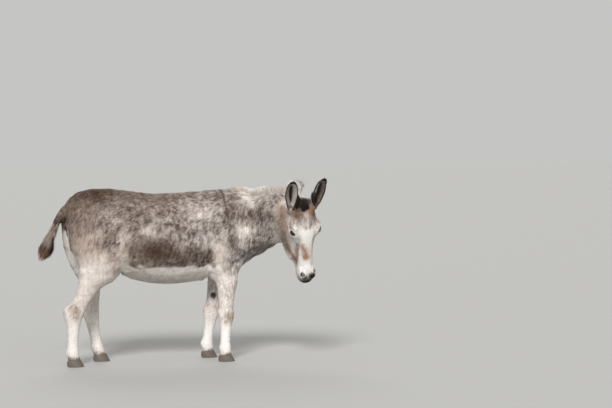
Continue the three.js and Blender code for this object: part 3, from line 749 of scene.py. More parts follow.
# The skin shows the markings too, so they are worked out the same way at every place. Each patch is a place
# or a line of places, its radii or width, its strength, and the roan and warmth that it brings: roan is the
# share of dark hairs among the white, and warmth runs from grey hairs to brown.
bodyPatches = [  # (x, z) in body places
    ((0.0, 1.08), (0.5, 0.07), 0.75, 0.88, 0.9),  # along the back
    ((-0.36, 1.085), (0.155, 0.08), 1.0, 1.02, 0.9),  # top of the rump
    ((-0.48, 0.95), (0.14, 0.13), 0.95, 0.86, 1.0),  # haunch
    ((-0.46, 0.79), (0.09, 0.09), 0.9, 0.6, 1.0),
    ((-0.42, 0.64), (0.17, 0.09), 0.9, 0.12, 0.9),  # thigh
    ((-0.27, 0.93), (0.09, 0.11), 0.7, 0.74, 0.55),  # hip
    ((-0.36, 0.83), (0.045, 0.05), 0.55, 0.42, 0.8),
    (((-0.31, 0.73), (-0.275, 0.765), (-0.235, 0.8)), 0.02, 0.85, 0.8, 0.4),  # fold of the flank
    ((-0.31, 0.66), (0.05, 0.06), 0.75, 0.22, 0.7),
    (((-0.175, 0.82), (-0.19, 0.74), (-0.175, 0.67)), 0.036, 0.66, 0.18, 0.6),  # light flank
    ((-0.1, 0.74), (0.075, 0.11), 0.85, 0.8, 0.95),
    ((-0.02, 0.86), (0.08, 0.04), 0.75, 0.4, 0.5),
    ((-0.1, 0.96), (0.09, 0.06), 0.6, 0.78, 0.6),
    ((0.1, 0.96), (0.12, 0.07), 0.6, 0.78, 0.8),
    ((0.04, 0.725), (0.14, 0.08), 0.99, 1.0, 0.8),  # dark lower barrel
    ((0.19, 0.69), (0.15, 0.056), 0.97, 0.97, 0.65),
    ((0.32, 0.675), (0.08, 0.04), 0.9, 0.92, 0.3),
    ((0.2, 0.8), (0.1, 0.06), 0.6, 0.74, 0.4),
    ((0.33, 0.95), (0.11, 0.07), 0.75, 0.42, 0.45),
    ((0.38, 0.79), (0.06, 0.06), 0.8, 0.38, 0.3),
    (((0.445, 0.74), (0.435, 0.65), (0.44, 0.56)), 0.036, 0.92, 0.26, 0.9),  # elbow
    ((0.49, 1.09), (0.05, 0.05), 0.6, 0.7, 0.6),  # withers
    ((0.53, 0.98), (0.05, 0.06), 0.6, 0.74, 0.6),
    ((0.6, 0.85), (0.065, 0.075), 0.85, 0.22, 0.5),  # light shoulder
    (((0.475, 0.83), (0.48, 0.73), (0.49, 0.66)), 0.024, 0.7, 0.36, 0.6),
    ((0.535, 0.655), (0.075, 0.045), 0.85, 0.66, 0.25),  # dark breast
    ((0.65, 0.69), (0.05, 0.05), 0.75, 0.62, 0.2),
    ((0.6, 0.6), (0.05, 0.035), 0.95, 0.05, 0.3),
    (((0.5, 1.13), (0.58, 1.11), (0.66, 1.09), (0.8, 1.1)), 0.03, 0.9, 0.12, 0.5),  # crest
    ((0.645, 1.025), (0.035, 0.045), 0.95, 0.02, 0.4),  # white patch under the crest
    (((0.52, 0.955), (0.62, 0.945), (0.74, 0.955)), 0.05, 0.9, 0.88, 0.6),  # band along the neck
    ((0.72, 1.03), (0.06, 0.035), 0.6, 0.48, 0.4),
    ((0.72, 0.85), (0.08, 0.06), 0.6, 0.6, 0.3),
]
headPatches = [  # (x, |y|, z) in head places
    (((0.09, 0.105, -0.075), (0.2, 0.104, -0.095), (0.3, 0.082, -0.125)), 0.056, 0.96, 0.62, 1.0),  # cheek
    (((0.3, 0.08, -0.12), (0.37, 0.064, -0.085), (0.42, 0.054, -0.066)), 0.024, 0.95, 0.8, 1.0),
    (((0.08, 0.08, -0.2), (0.2, 0.08, -0.225), (0.32, 0.07, -0.2)), 0.026, 0.9, 0.12, 0.6),  # rim of the jaw
    # below the eye
    (((0.25, 0.098, 0.0), (0.3, 0.078, -0.045), (0.35, 0.064, -0.056)), 0.019, 1.0, 0.0, 0.4),
    ((0.172, 0.094, -0.005), (0.022, 0.022, 0.018), 0.55, 0.5, 0.4),  # above the eye
    ((0.175, 0.056, 0.036), (0.02, 0.016, 0.02), 0.6, 0.55, 0.3),
    (((0.132, 0.01, 0.05), (0.165, 0.016, 0.05), (0.2, 0.014, 0.048)), 0.009, 0.7, 0.75, 0.4),  # whorl
    ((0.075, 0.106, -0.02), (0.026, 0.026, 0.026), 1.0, 0.0, 0.5),  # below the ear
    ((0.1, 0.09, -0.04), (0.03, 0.03, 0.03), 0.6, 0.45, 0.9),
    ((0.108, 0.058, 0.03), (0.04, 0.046, 0.034), 0.95, 0.95, 1.0),  # below the ears
    (((0.3, 0.055, -0.01), (0.35, 0.058, -0.03), (0.4, 0.056, -0.052)), 0.016, 0.9, 0.78, 1.0),
    # under the eye's corner
    (((0.235, 0.052, 0.022), (0.275, 0.05, 0.01), (0.31, 0.048, 0.0)), 0.01, 0.6, 0.4, 0.6),
    ((0.54, 0.0, -0.025), (0.034, 0.07, 0.034), 0.95, 0.9, 0.0),  # grey of the muzzle
    ((0.53, 0.0, -0.09), (0.045, 0.075, 0.03), 0.85, 0.7, 0.0),
    ((0.515, 0.0, -0.115), (0.03, 0.05, 0.02), 0.6, 0.3, 0.2),
]
legPatches = [  # from the knee or hock
    ("fore", (0.012, 0.03, 0.006), (0.044, 0.038, 0.042), 0.66, 0.9),
    ("hind", (0.012, 0.03, 0.03), (0.046, 0.038, 0.064), 0.62, 0.9),
    ("hind", (-0.02, 0.03, 0.06), (0.02, 0.03, 0.026), 0.6, 0.9),
    ("hind", (0.03, 0.03, 0.18), (0.09, 0.05, 0.1), 0.25, 1.0),
    ("fore", (-0.006, 0.03, -0.02), (0.02, 0.03, 0.03), 0.5, 0.9),
]
rustSpots = [  # head places and strength
    ((0.355, -0.02, 0.014), (0.04, 0.03, 0.03), 0.8),
    ((0.318, -0.036, 0.012), (0.022, 0.014, 0.02), 0.7),
    ((0.392, -0.01, 0.006), (0.022, 0.03, 0.02), 0.85),
    ((0.094, -0.05, 0.03), (0.026, 0.04, 0.034), 0.42),
    ((0.09, 0.034, 0.034), (0.03, 0.038, 0.03), 0.9),
    ((0.14, -0.11, -0.085), (0.1, 0.03, 0.045), 0.4), ((0.14, 0.11, -0.085), (0.1, 0.03, 0.045), 0.4),
    ((0.36, -0.06, -0.07), (0.07, 0.03, 0.03), 0.3), ((0.36, 0.06, -0.07), (0.07, 0.03, 0.03), 0.3),
]
darkSpots = [  # head places and strength
    ((0.552, -0.004, -0.05), (0.032, 0.048, 0.046), 1.0), ((0.52, 0.026, -0.014), (0.03, 0.034, 0.034), 1.0),
    ((0.52, -0.026, -0.02), (0.022, 0.018, 0.026), 0.8), ((0.5, -0.045, -0.006), (0.018, 0.012, 0.014), 1.0),
    ((0.488, 0.046, 0.0), (0.02, 0.014, 0.016), 1.0),
    ((0.494, 0.05, -0.03), (0.022, 0.016, 0.026), 0.8),
    ((0.53, -0.02, -0.012), (0.022, 0.03, 0.014), 0.6), ((0.515, 0.026, -0.006), (0.026, 0.018, 0.014), 0.6),
    ((0.525, 0.02, -0.122), (0.012, 0.012, 0.012), 0.6), ((0.5, -0.03, -0.125), (0.012, 0.012, 0.012), 0.5),
    ((0.02, 0.004, 0.03), (0.062, 0.085, 0.05), 0.95), ((0.082, -0.016, 0.036), (0.026, 0.016, 0.03), 0.7),
    ((0.158, 0.059, 0.034), (0.007, 0.007, 0.01), 0.55), ((0.178, 0.08, 0.03), (0.006, 0.007, 0.01), 0.55),
    ((0.19, 0.066, 0.036), (0.006, 0.006, 0.01), 0.4),
]
shoulderStripe = ((0.486, 1.13), (0.482, 1.08), (0.486, 1.02), (0.492, 0.956), (0.5, 0.88), (0.51, 0.81))
whitePaint = dict(  # where the white parts fade in, in body places
    belt=0.622, flankRise=0.05, chestDrop=0.06, chestRagged=0.024, beltTop=0.01, beltFoot=0.012,
    innerSide=(0.105, 0.075), innerTop=(0.88, 0.84), innerFront=(-0.16, -0.24), outerThigh=(-0.17, -0.23),
    buttockTop=(0.885, 0.85), buttockFront=(-0.36, -0.42), strip=0.034, stripSpread=0.048, stripEdge=0.016,
)
buttockLine = dict(  # bare dark skin under the tail, which narrows downwards
    y=0.008, top=(0.905, 0.885), foot=(0.735, 0.765), front=(-0.42, -0.45),
    narrow=0.007, spread=0.026, edge=0.009,
)
dockLine = ((-0.547, 0.006, 0.95), (-0.574, 0.014, 0.898), (-0.604, 0.028, 0.832), (-0.622, 0.038, 0.785))
earPaint = dict(rim=0.76, tip=0.77, hollow=0.38)


def waves(points, size, seed, count=9):  # smooth random waves between about -1 and 1
    chance = np.random.default_rng(seed)
    total = np.zeros(len(points))
    for _ in range(count):
        direction = unit(chance.normal(size=3)) * chance.uniform(0.7, 1.5) * 2 * math.pi / size
        total += np.sin(points @ direction + chance.uniform(0, 2 * math.pi))
    return total / math.sqrt(count) * 0.75


def waveRows(points, size, seeds):
    return np.stack([waves(points, size, seed) for seed in seeds], 1)


def blended(base, *layers):  # each layer is (share, value)
    for share, value in layers:
        base = base + (value - base) * share
    return base


def patchShare(places, place, size):
    place = np.array(place, float)
    if place.ndim == 1:
        return spot(places, place, size)
    return bell(pathDistance(places, place)[0], size)


def earFacts(points):  # place along the ear, share out to the rim from -1 to 1, and the side
    places = toHead(points)
    facts = np.zeros((len(points), 3))
    facts[:, 0] = -1
    for side in earSets:
        local, along, wide, deep, curl = earLocal(places, side)
        across = local[:, 1] / (np.maximum(wide, 0.12) * earShape["width"])
        back = -local[:, 2] / (np.maximum(deep, 0.1) * earShape["width"])
        rim = np.arctan2(across, back) / np.radians(curl)
        found = (across ** 2 + back ** 2 < 1.9) & (along > -0.2) & (along < 1.12)
        facts[found] = np.stack([along, rim, np.full(len(along), side)], 1)[found]
    return facts


def whiteShare(points, normals, wobble):  # 1 on the belly, buttocks and legs
    body = toBody(points)
    belt = whitePaint["belt"] + 0.006 * wobble + 0.007 * waves(points, 0.05, 21)
    belt = belt + whitePaint["chestRagged"] * waves(points, 0.11, 22) * fade(body[:, 0], 0.44, 0.52)
    belt = belt + whitePaint["flankRise"] * fade(body[:, 0], -0.1, -0.2)
    belt = belt - whitePaint["chestDrop"] * fade(body[:, 0], 0.42, 0.5)
    inside = fade(np.abs(body[:, 1]), *whitePaint["innerSide"]) * fade(body[:, 2], *whitePaint["innerTop"])
    inside = inside * fade(body[:, 0], *whitePaint["innerFront"])
    belly = fade(body[:, 2], belt + whitePaint["beltTop"], belt - whitePaint["beltFoot"])
    white = np.maximum(belly * (1 - fade(body[:, 0], *whitePaint["outerThigh"])), inside)
    white = np.maximum(white, legShare(points) * 0.9)
    rear = fade(-normals[:, 0], 0.0, 0.3) * fade(body[:, 2], *whitePaint["buttockTop"])
    rear = rear * fade(body[:, 0], *whitePaint["buttockFront"])
    strip = whitePaint["strip"] + whitePaint["stripSpread"] * fade(body[:, 2], 0.88, 0.77)
    rear *= fade(np.abs(body[:, 1]), strip + whitePaint["stripEdge"], strip)
    rear *= fade(pathDistance(body, dockLine)[0], 0.03, 0.042)
    return np.maximum(white, rear * 0.95)


def bodyBlack(body, normals):  # 1 on the black lines of the back, shoulders and buttocks, and on chestnuts
    black = 0.7 * fade(np.abs(body[:, 1] - 0.01), 0.014, 0.004) * fade(body[:, 0], -0.28, -0.42)
    black *= fade(body[:, 2], 0.86, 0.95) * fade(normals[:, 2] - normals[:, 0], 0.3, 0.8)
    stripe, along = pathDistance(body[:, [0, 2]], shoulderStripe)
    black = np.maximum(black, bell(stripe, 0.0075) * (0.95 - 0.7 * fade(along, 0.45, 1.0)))
    half = buttockLine["narrow"] + buttockLine["spread"] * fade(body[:, 2], 0.76, 0.87)
    between = fade(np.abs(body[:, 1] + buttockLine["y"]), half + buttockLine["edge"], half)
    between = between * fade(-normals[:, 0], -0.2, 0.1)
    between *= (fade(body[:, 2], *buttockLine["top"]) * fade(body[:, 2], *buttockLine["foot"])
                * fade(body[:, 0], *buttockLine["front"]))
    black = np.maximum(black, between * 0.97 * fade(pathDistance(body, dockLine)[0], 0.02, 0.034))
    for leg in ("fore_right", "fore_left"):
        chestnut = np.array(legJoints[leg][1]) + chestnutPlace * (1, -sideOf(leg), 1)
        black = np.maximum(black, fade(spot(body, chestnut, (0.02, 0.03, 0.024)), 0.25, 0.6) * 0.95)
    return black


def bodyMarks(points, normals, wobble):  # roan and warmth of the body and legs
    body, onLeg = toBody(points), legShare(points)
    flat = body[:, [0, 2]] + 0.014 * waveRows(points, 0.09, (5, 6))
    flat += 0.009 * waveRows(points, 0.035, (15, 16))
    ragged = body + 0.006 * waveRows(points, 0.03, (17, 18, 19))
    roan = 0.8 + 0.06 * wobble
    warmth = 0.8 - 0.45 * fade(body[:, 0], -0.35, 0.35)
    for place, size, strength, newRoan, newWarmth in bodyPatches:
        share = patchShare(flat, place, size) * strength
        roan, warmth = blended(roan, (share, newRoan)), blended(warmth, (share, newWarmth))
    white = whiteShare(points, normals, wobble)
    roan *= 1 - white * 0.96
    for leg, joints in legJoints.items():
        for kind, offset, size, newRoan, newWarmth in legPatches:
            if leg.startswith(kind):
                share = spot(ragged, np.array(joints[1]) + np.array(offset) * (1, sideOf(leg), 1), size)
                roan, warmth = np.maximum(roan, newRoan * share), blended(warmth, (share, newWarmth))
    # The upper legs get a brownish tint of their own; the white above them, on the belly and buttocks, is
    # made a little greyer, which under the belly is painted shade.
    tint = np.maximum(0.2 * onLeg * fade(body[:, 2], 0.22, 0.36), 0.13 * white * fade(body[:, 2], 0.45, 0.55))
    roan = np.maximum(roan, tint + 0.05 * onLeg)
    # Painted highlight: paler, warmer hair along the top of the back, where the skin faces up.
    topLine = fade(np.abs(body[:, 1]), 0.03, 0.008) * fade(normals[:, 2], 0.5, 0.8)
    paintedTopHighlight = topLine * fade(body[:, 0], 0.5, 0.44) * fade(body[:, 0], -0.4, -0.3) * 0.32
    roan, warmth = roan * (1 - paintedTopHighlight * 0.5), blended(warmth, (paintedTopHighlight, 1))
    onDock = fade(pathDistance(body, dockLine)[0], 0.042, 0.03) * fade(body[:, 2], 0.97, 0.92)
    roan, warmth = blended(roan, (onDock, 0.92)), blended(warmth, (onDock, 1))
    for leg, joints in legJoints.items():  # the darker hair round the coronet
        band = bell(body[:, 2] - 0.058, 0.012) * (0.55 if leg.startswith("hind") else 0.25)
        near = np.linalg.norm(body[:, :2] - np.array(joints[3])[:2], axis=1) < 0.08
        roan = np.where(near, np.maximum(roan, band), roan)
    return roan, warmth


def headMarks(points, wobble):  # roan, warmth, rust and black of the head
    head = toHead(points)
    roan, warmth = np.full(len(points), 0.0), np.full(len(points), 0.45)
    halfHead = head * (1, 0, 1) + np.abs(head) * (0, 1, 0) + 0.004 * wobble[:, None]
    for place, size, strength, newRoan, newWarmth in headPatches:
        share = patchShare(halfHead, place, size) * strength
        roan, warmth = blended(roan, (share, newRoan)), blended(warmth, (share, newWarmth))
    # Painted shade: the far side of the face, above the jaw, turned from the light, is made greyer.
    roan += 0.14 * fade(head[:, 1], 0.03, 0.05) * fade(head[:, 2], -0.05, 0.0) * (1 - roan)
    roan += 0.48 * fade(head[:, 0], 0.225, 0.15) * fade(head[:, 2], -0.03, 0.02) * (1 - roan)
    rust = sum(spot(head, np.array(place), size) * amount for place, size, amount in rustSpots)
    dark = np.zeros(len(points))
    for place, size, amount in darkSpots:
        dark = np.maximum(dark, spot(head + 0.003 * wobble[:, None], np.array(place), size) * amount)
    dark = fade(dark + 0.16 * waves(points, 0.012, 23) * fade(dark, 0.0, 0.2), 0.18, 0.85)
    dark = np.maximum(dark, fade(eyeDistance(points), eyeRadius + 0.0042, eyeRadius + 0.0026))
    return roan, warmth, rust, dark


def coatMarks(points, normals):  # roan, warmth, rust and black at places on the skin
    onHead = headShare(points)
    wobble = waves(points, 0.07, 3)
    roan, warmth = bodyMarks(points, normals, wobble)
    black = bodyBlack(toBody(points), normals)
    headRoan, headWarmth, rust, dark = headMarks(points, wobble)
    roan, warmth = blended(roan, (onHead, headRoan)), blended(warmth, (onHead, headWarmth))
    rust, black = rust * onHead, blended(black, (onHead, dark))
    along, rim, side = earFacts(points).T
    onEar = fade(along, 0.0, 0.1) * (along > -1)
    hollow = fade(np.sum(normals * earOutward(points), axis=1), 0.2, -0.2)  # 1 on the inner face of the ear
    edge = fade(np.abs(rim) + 0.04 * wobble, earPaint["rim"], earPaint["rim"] + 0.07)
    edge = np.maximum(edge, fade(along + 0.02 * wobble, earPaint["tip"], earPaint["tip"] + 0.09))
    # Painted shade: black down the middle of the ear's inner face, where its hollow is deepest.
    middle = fade(np.abs(rim - 0.06 * side), earPaint["hollow"], 0.12)
    middle = middle * fade(along, 0.84, 0.7) * fade(along, 0.04, 0.14)
    earRoan = blended(0.66 + 0.2 * fade(along, 0.5, 0.8), (hollow, np.where(rim * side > 0, 0.5, 0.0)))
    roan, warmth = blended(roan, (onEar, earRoan)), blended(warmth, (onEar, 0.7))
    black = blended(black, (onEar, np.maximum(edge * 0.97, middle * hollow * 0.95)))
    redEdge = (side > 0) * fade(along, 0.55, 0.35) * fade(-rim, 0.45, 0.8) * onEar
    rust = rust * (1 - onEar) + 0.8 * redEdge + 0.25 * onEar * (1 - hollow) * fade(along, 0.4, 0.1)
    black *= 1 - 0.8 * redEdge
    return np.clip(np.stack([roan, warmth, rust, black], 1), 0, 1)


def earOutward(points):  # the direction out from each ear's middle line
    places = toHead(points)
    result = np.zeros((len(points), 3))
    for side in earSets:
        turn, root = earFrame(side)
        local = (places - root) @ turn
        away = unit(local * (0, 1, 1)) @ turn.T @ headTurn.T
        mine = (places[:, 1] * side) > 0
        result[mine] = away[mine]
    return result


def setVectors(mesh, name, vectors):
    attribute = mesh.attributes.new(name, "FLOAT_VECTOR", "POINT")
    attribute.data.foreach_set("vector", np.ascontiguousarray(vectors, np.float32).ravel())


def paintMarks(mesh, roots, marks, along, chance):
    setVectors(mesh, "rootPlace", roots)
    setVectors(mesh, "marks", marks[:, :3])
    setVectors(mesh, "strand", np.stack([marks[:, 3], along, chance], 1))


coatColours = dict(
    white=(0.9, 0.865, 0.825, 1), cream=(0.8, 0.65, 0.545, 1),
    grey=(0.06, 0.037, 0.027, 1), brown=(0.045, 0.021, 0.0115, 1),
    rust=(0.34, 0.175, 0.1, 1), black=(0.014, 0.011, 0.01, 1),
)


def feed(tree, socket, value):  # a link or a plain value into a socket
    if isinstance(value, bpy.types.NodeSocket):
        tree.links.new(value, socket)
    else:
        socket.default_value = value


def addNode(tree, kind, settings=None, **inputs):  # an input named _2 is the third one
    node = tree.nodes.new(kind)
    for key, value in (settings or {}).items():
        setattr(node, key, value)
    for key, value in inputs.items():
        feed(tree, node.inputs[int(key[1:])] if key[1:].isdigit() else node.inputs[key], value)
    return node


def calculated(tree, operation, *values):
    node = addNode(tree, "ShaderNodeMath", dict(operation=operation))
    for socket, value in zip(node.inputs, values):
        feed(tree, socket, value)
    return node.outputs[0]


def mixedColour(tree, share, first, second):
    return addNode(tree, "ShaderNodeMix", dict(data_type="RGBA"), _0=share, _6=first, _7=second).outputs[2]


def rangeShare(tree, value, start, end):
    return addNode(tree, "ShaderNodeMapRange", None, Value=value, _1=start, _2=end).outputs[0]


def stretchedNoise(tree, vector, stretch, scale, detail):
    place = addNode(tree, "ShaderNodeVectorMath", dict(operation="MULTIPLY"), _0=vector, _1=stretch)
    noise = addNode(tree, "ShaderNodeTexNoise", Vector=place.outputs[0], Scale=scale, Detail=detail)
    return noise.outputs["Fac"]


def coatGroup():  # roan hair: dark and white hairs mixed, in dapples and streaks
    tree = bpy.data.node_groups.new("roan hair", "ShaderNodeTree")
    for name in ("Marks", "Strand", "Root"):
        tree.interface.new_socket(name, in_out="INPUT", socket_type="NodeSocketVector")
    for name in ("Shade", "Mottle"):
        tree.interface.new_socket(name, in_out="INPUT", socket_type="NodeSocketFloat")
    tree.interface.new_socket("Color", in_out="OUTPUT", socket_type="NodeSocketColor")
    tree.interface.new_socket("Height", in_out="OUTPUT", socket_type="NodeSocketFloat")
    given = tree.nodes.new("NodeGroupInput")
    result = tree.nodes.new("NodeGroupOutput")
    marks = addNode(tree, "ShaderNodeSeparateXYZ", _0=given.outputs["Marks"])
    strand = addNode(tree, "ShaderNodeSeparateXYZ", _0=given.outputs["Strand"])
    root = given.outputs["Root"]
    roan, warmth, rust = marks.outputs
    black, along, chance = strand.outputs
    dapples = stretchedNoise(tree, root, (1, 1, 0.85), 26, 2)
    streaks = stretchedNoise(tree, root, (1, 1, 0.3), 75, 3)
    flecks = stretchedNoise(tree, root, (1, 1, 0.3), 300, 1)
    mixedness = calculated(tree, "MULTIPLY", roan, calculated(tree, "SUBTRACT", 1.08, roan))
    mixedness = calculated(tree, "MINIMUM", calculated(tree, "MULTIPLY", mixedness, 4), 1)
    mixedness = calculated(tree, "MULTIPLY", mixedness, given.outputs["Mottle"])
    mixedness = calculated(tree, "MULTIPLY", mixedness, calculated(tree, "MULTIPLY_ADD", warmth, -0.8, 1.25))
    swing = calculated(tree, "MULTIPLY_ADD", dapples, 0.8, -0.4)
    swing = calculated(tree, "ADD", swing, calculated(tree, "MULTIPLY_ADD", streaks, 1.2, -0.6))
    swing = calculated(tree, "ADD", swing, calculated(tree, "MULTIPLY_ADD", flecks, 1.1, -0.55))
    swing = calculated(tree, "ADD", swing, calculated(tree, "MULTIPLY_ADD", chance, 0.4, -0.2))
    share = calculated(tree, "MULTIPLY_ADD", swing, mixedness, roan)
    share = addNode(tree, "ShaderNodeMapRange", None, Value=share)
    hair = mixedColour(tree, warmth, coatColours["grey"], coatColours["brown"])
    creamy = calculated(tree, "MINIMUM", calculated(tree, "MULTIPLY", roan, 1.7), warmth)
    pale = mixedColour(tree, creamy, coatColours["white"], coatColours["cream"])
    colour = mixedColour(tree, share.outputs[0], pale, hair)
    patchy = calculated(tree, "ADD", 0.4, calculated(tree, "MULTIPLY", streaks, 1.1))
    colour = mixedColour(tree, calculated(tree, "MULTIPLY", rust, patchy), colour, coatColours["rust"])
    colour = mixedColour(tree, black, colour, coatColours["black"])
    # Painted shade: each hair is darker at its root than at its tip, and the Shade input darkens a whole
    # surface; chance gives each hair a random tone of its own.
    light = calculated(tree, "MULTIPLY_ADD", along, 0.3, 0.8)
    light = calculated(tree, "MULTIPLY", light, calculated(tree, "MULTIPLY_ADD", chance, 0.16, 0.92))
    light = calculated(tree, "MULTIPLY", light, given.outputs["Shade"])
    scaled = addNode(tree, "ShaderNodeVectorMath", dict(operation="SCALE"), _0=colour)
    tree.links.new(light, scaled.inputs["Scale"])
    tree.links.new(scaled.outputs[0], result.inputs["Color"])
    height = calculated(tree, "ADD", streaks, calculated(tree, "MULTIPLY", flecks, 0.5))
    tree.links.new(height, result.inputs["Height"])
    return tree


def shaderOf(material):
    material.use_nodes = True
    tree = material.node_tree
    return tree, next(node for node in tree.nodes if node.type == "BSDF_PRINCIPLED")


def attributeOf(tree, name):
    return addNode(tree, "ShaderNodeAttribute", dict(attribute_name=name)).outputs["Vector"]


def coatMaterial(name, group, shade, mottle, roughness, bump):
    material = bpy.data.materials.new(name)
    tree, shader = shaderOf(material)
    names = dict(Marks="marks", Strand="strand", Root="rootPlace")
    places = {key: attributeOf(tree, name) for key, name in names.items()}
    coat = addNode(tree, "ShaderNodeGroup", dict(node_tree=group), **places, Shade=shade, Mottle=mottle)
    tree.links.new(coat.outputs["Color"], shader.inputs["Base Color"])
    shader.inputs["Roughness"].default_value = roughness
    shader.inputs["Specular IOR Level"].default_value = 0.14
    if bump:
        height = coat.outputs["Height"]
        relief = addNode(tree, "ShaderNodeBump", None, Strength=bump, Distance=0.002, Height=height)
        tree.links.new(relief.outputs["Normal"], shader.inputs["Normal"])
    return material


roanHair = coatGroup()
# The skin is painted darker than the hairs on it (Shade 0.8): painted shade under the coat.
skinMaterial = coatMaterial("skin", roanHair, 0.8, 1.0, 0.72, 0.5)
hairMaterial = coatMaterial("coat hair", roanHair, 1.0, 1.0, 0.62, 0)
longHairMaterial = coatMaterial("long hair", roanHair, 1.0, 0.6, 0.55, 0)


def finishPiece(mesh, name, material, nodes):
    mesh.materials.clear()
    mesh.materials.append(material)
    piece = newObject(name, mesh)
    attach(piece, "root")
    if nodes:
        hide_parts(*nodes)


smoothShaded(skinMesh)
skinPoints, skinNormals = pointsOf(skinMesh), normalsOf(skinMesh)
skinMarks = coatMarks(skinPoints, skinNormals)
paintMarks(skinMesh, skinPoints, skinMarks, np.zeros(len(skinPoints)), np.full(len(skinPoints), 0.5))
skinNodes = ["trunk", "neck", "head", "tail_dock", "ear_right", "ear_left"]
skinNodes += [f"{leg}_{part}" for leg in legJoints for part in ("upper", "lower")]
finishPiece(skinMesh, "skin", skinMaterial, skinNodes)
print("stage: skin and its markings")


# The coat: short solid hairs in their thousands, each lying along the body from its root on the skin.
hairLengths = dict(
    body=0.021, neck=0.025, belly=0.026, leg=0.013, shin=0.008, coronet=0.015,
    head=0.0085, jaw=0.013, muzzle=0.0035, eye=0.004, ear=0.0085,
)
hairWidths = dict(body=0.004, leg=0.003, head=0.0023, muzzle=0.0014, ear=0.0022, fringe=0.0022)
hairLifts = dict(body=0.18, leg=0.13, head=0.14, ear=0.18)  # how far the tip stands off, in lengths
hairPose = dict(sink=0.0012, turn=0.2, sway=0.26, swaySize=0.06)
hairPatch = 0.003  # how much of the piece's flat map one hair takes
strandTip = 0.35  # width of a long hair at its tip, as a share of its width
neckPath = ((0.4, 0.0, 0.86), (0.6, -0.03, 0.87), (0.74, -0.16, 0.93), (0.86, -0.34, 1.03))
coatPieces = [  # name, tufts, and the path the unwrap goes round
    ("coat_rump", 42500, ((-0.66, 0, 0.86), (-0.2, 0, 0.86))),
    ("coat_barrel", 42500, ((-0.2, 0, 0.86), (0.14, 0, 0.86))),
    ("coat_shoulder", 42500, ((0.14, 0, 0.86), (0.49, 0, 0.86))),
    ("coat_neck", 42500, neckPath),
    ("coat_head", 46500, None),
    ("coat_ears", 14000, None),
    ("coat_fore_legs", 36500, None),
    ("coat_hind_legs", 40500, None),
]


def coatPiece(points):  # the index in coatPieces of the piece that each place belongs to
    body = toBody(points)
    along = earFacts(points)[:, 0]
    piece = np.searchsorted((-0.2, 0.14, 0.475), body[:, 0], side="right")
    piece[legShare(points) > 0.5] = 6
    piece[(legShare(points) > 0.5) & (body[:, 0] < 0.1)] = 7
    piece[headShare(points) > 0.5] = 4
    piece[along > 0.03] = 5
    return piece


def hairLay(points, normals, noseGap):  # each place's direction of lie, length, width, lift and density
    body, head = toBody(points), toHead(points)
    onHead, onLeg = headShare(points), legShare(points)
    side = 1 - np.abs(normals[:, 2])
    onNeck = fade(body[:, 0], 0.44, 0.6) * (1 - onHead)
    onRump = fade(body[:, 0], -0.28, -0.42)
    steep = side * (0.85 + 0.9 * onNeck + 1.0 * onRump)
    flow = np.stack([-1.0 + 0.45 * onNeck + 0.55 * onRump, 0.35 * onNeck, -steep], 1)
    flow = unit(flow) * (1 - onLeg - onHead)[:, None]
    flow += onLeg[:, None] * np.array((-0.12, 0, -1.0))
    cheek = fade(head[:, 2], -0.02, -0.1)
    outward = 0.25 * np.sign(head[:, 1]) * (1 - cheek)
    faceFlow = np.stack([1.0 - 0.25 * cheek, outward, -0.1 - 0.75 * cheek], 1)
    faceFlow[:, 0] *= np.where(head[:, 0] < 0.05, 0.3, 1)
    flow += onHead[:, None] * (unit(faceFlow) @ headTurn.T)
    along, _, earSide = earFacts(points).T
    onEar = fade(along, -0.02, 0.06) * (along > -1)
    upLeft, upRight = (-earFrame(each)[0][:, 0] @ headTurn.T for each in (1, -1))
    upEar = np.where((earSide > 0)[:, None], upLeft, upRight)
    flow = flow * (1 - onEar)[:, None] + upEar * onEar[:, None]
    flow = unit(flow - normals * np.sum(flow * normals, axis=1, keepdims=True))
    low = fade(body[:, 2], 0.4, 0.3)
    onMuzzle = fade(head[:, 0], 0.4, 0.47)
    onJaw = fade(head[:, 2], -0.06, -0.14) * (1 - onMuzzle)
    nearEye = fade(eyeDistance(points), 0.045, 0.026)
    under = fade(-normals[:, 2], 0.2, 0.7) * (1 - onLeg)
    length = blended(hairLengths["body"], (onNeck, hairLengths["neck"]), (under, hairLengths["belly"]),
                     (onLeg, hairLengths["leg"]), (onLeg * low, hairLengths["shin"]))
    headLength = blended(hairLengths["head"], (onJaw, hairLengths["jaw"]), (onMuzzle, hairLengths["muzzle"]),
                         (nearEye, hairLengths["eye"]))
    coronet = bell(body[:, 2] - 0.056, 0.01) * onLeg
    length = blended(length, (onHead, headLength), (onEar, hairLengths["ear"]),
                     (coronet, hairLengths["coronet"]))
    headWidth = blended(hairWidths["head"], (np.maximum(onMuzzle, nearEye), hairWidths["muzzle"]))
    width = blended(hairWidths["body"], (onLeg, hairWidths["leg"]), (onHead, headWidth),
                    (onEar, hairWidths["ear"]))
    lift = blended(hairLifts["body"], (onLeg, hairLifts["leg"]), (onHead, hairLifts["head"]),
                   (onEar, hairLifts["ear"]))
    density = 1 / (length * width)
    density *= np.where((noseGap < 0.0075) | (eyeDistance(points) < eyeRadius + 0.0034), 0, 1)
    density *= 1 - 0.5 * onMuzzle
    underTail = (body[:, 0] < -0.572) & (body[:, 2] < 0.905)  # the tip of the dock is under the long hair
    density *= np.where(underTail, 0, 1)
    inner = np.sum(normals * earOutward(points), axis=1) < 0
    density *= np.where(inner & (onEar > 0.5), 0.35, 1)
    density *= np.where((along > -0.5) & (along < 0.05) & inner, 0, 1)
    return flow, length, width, lift, density


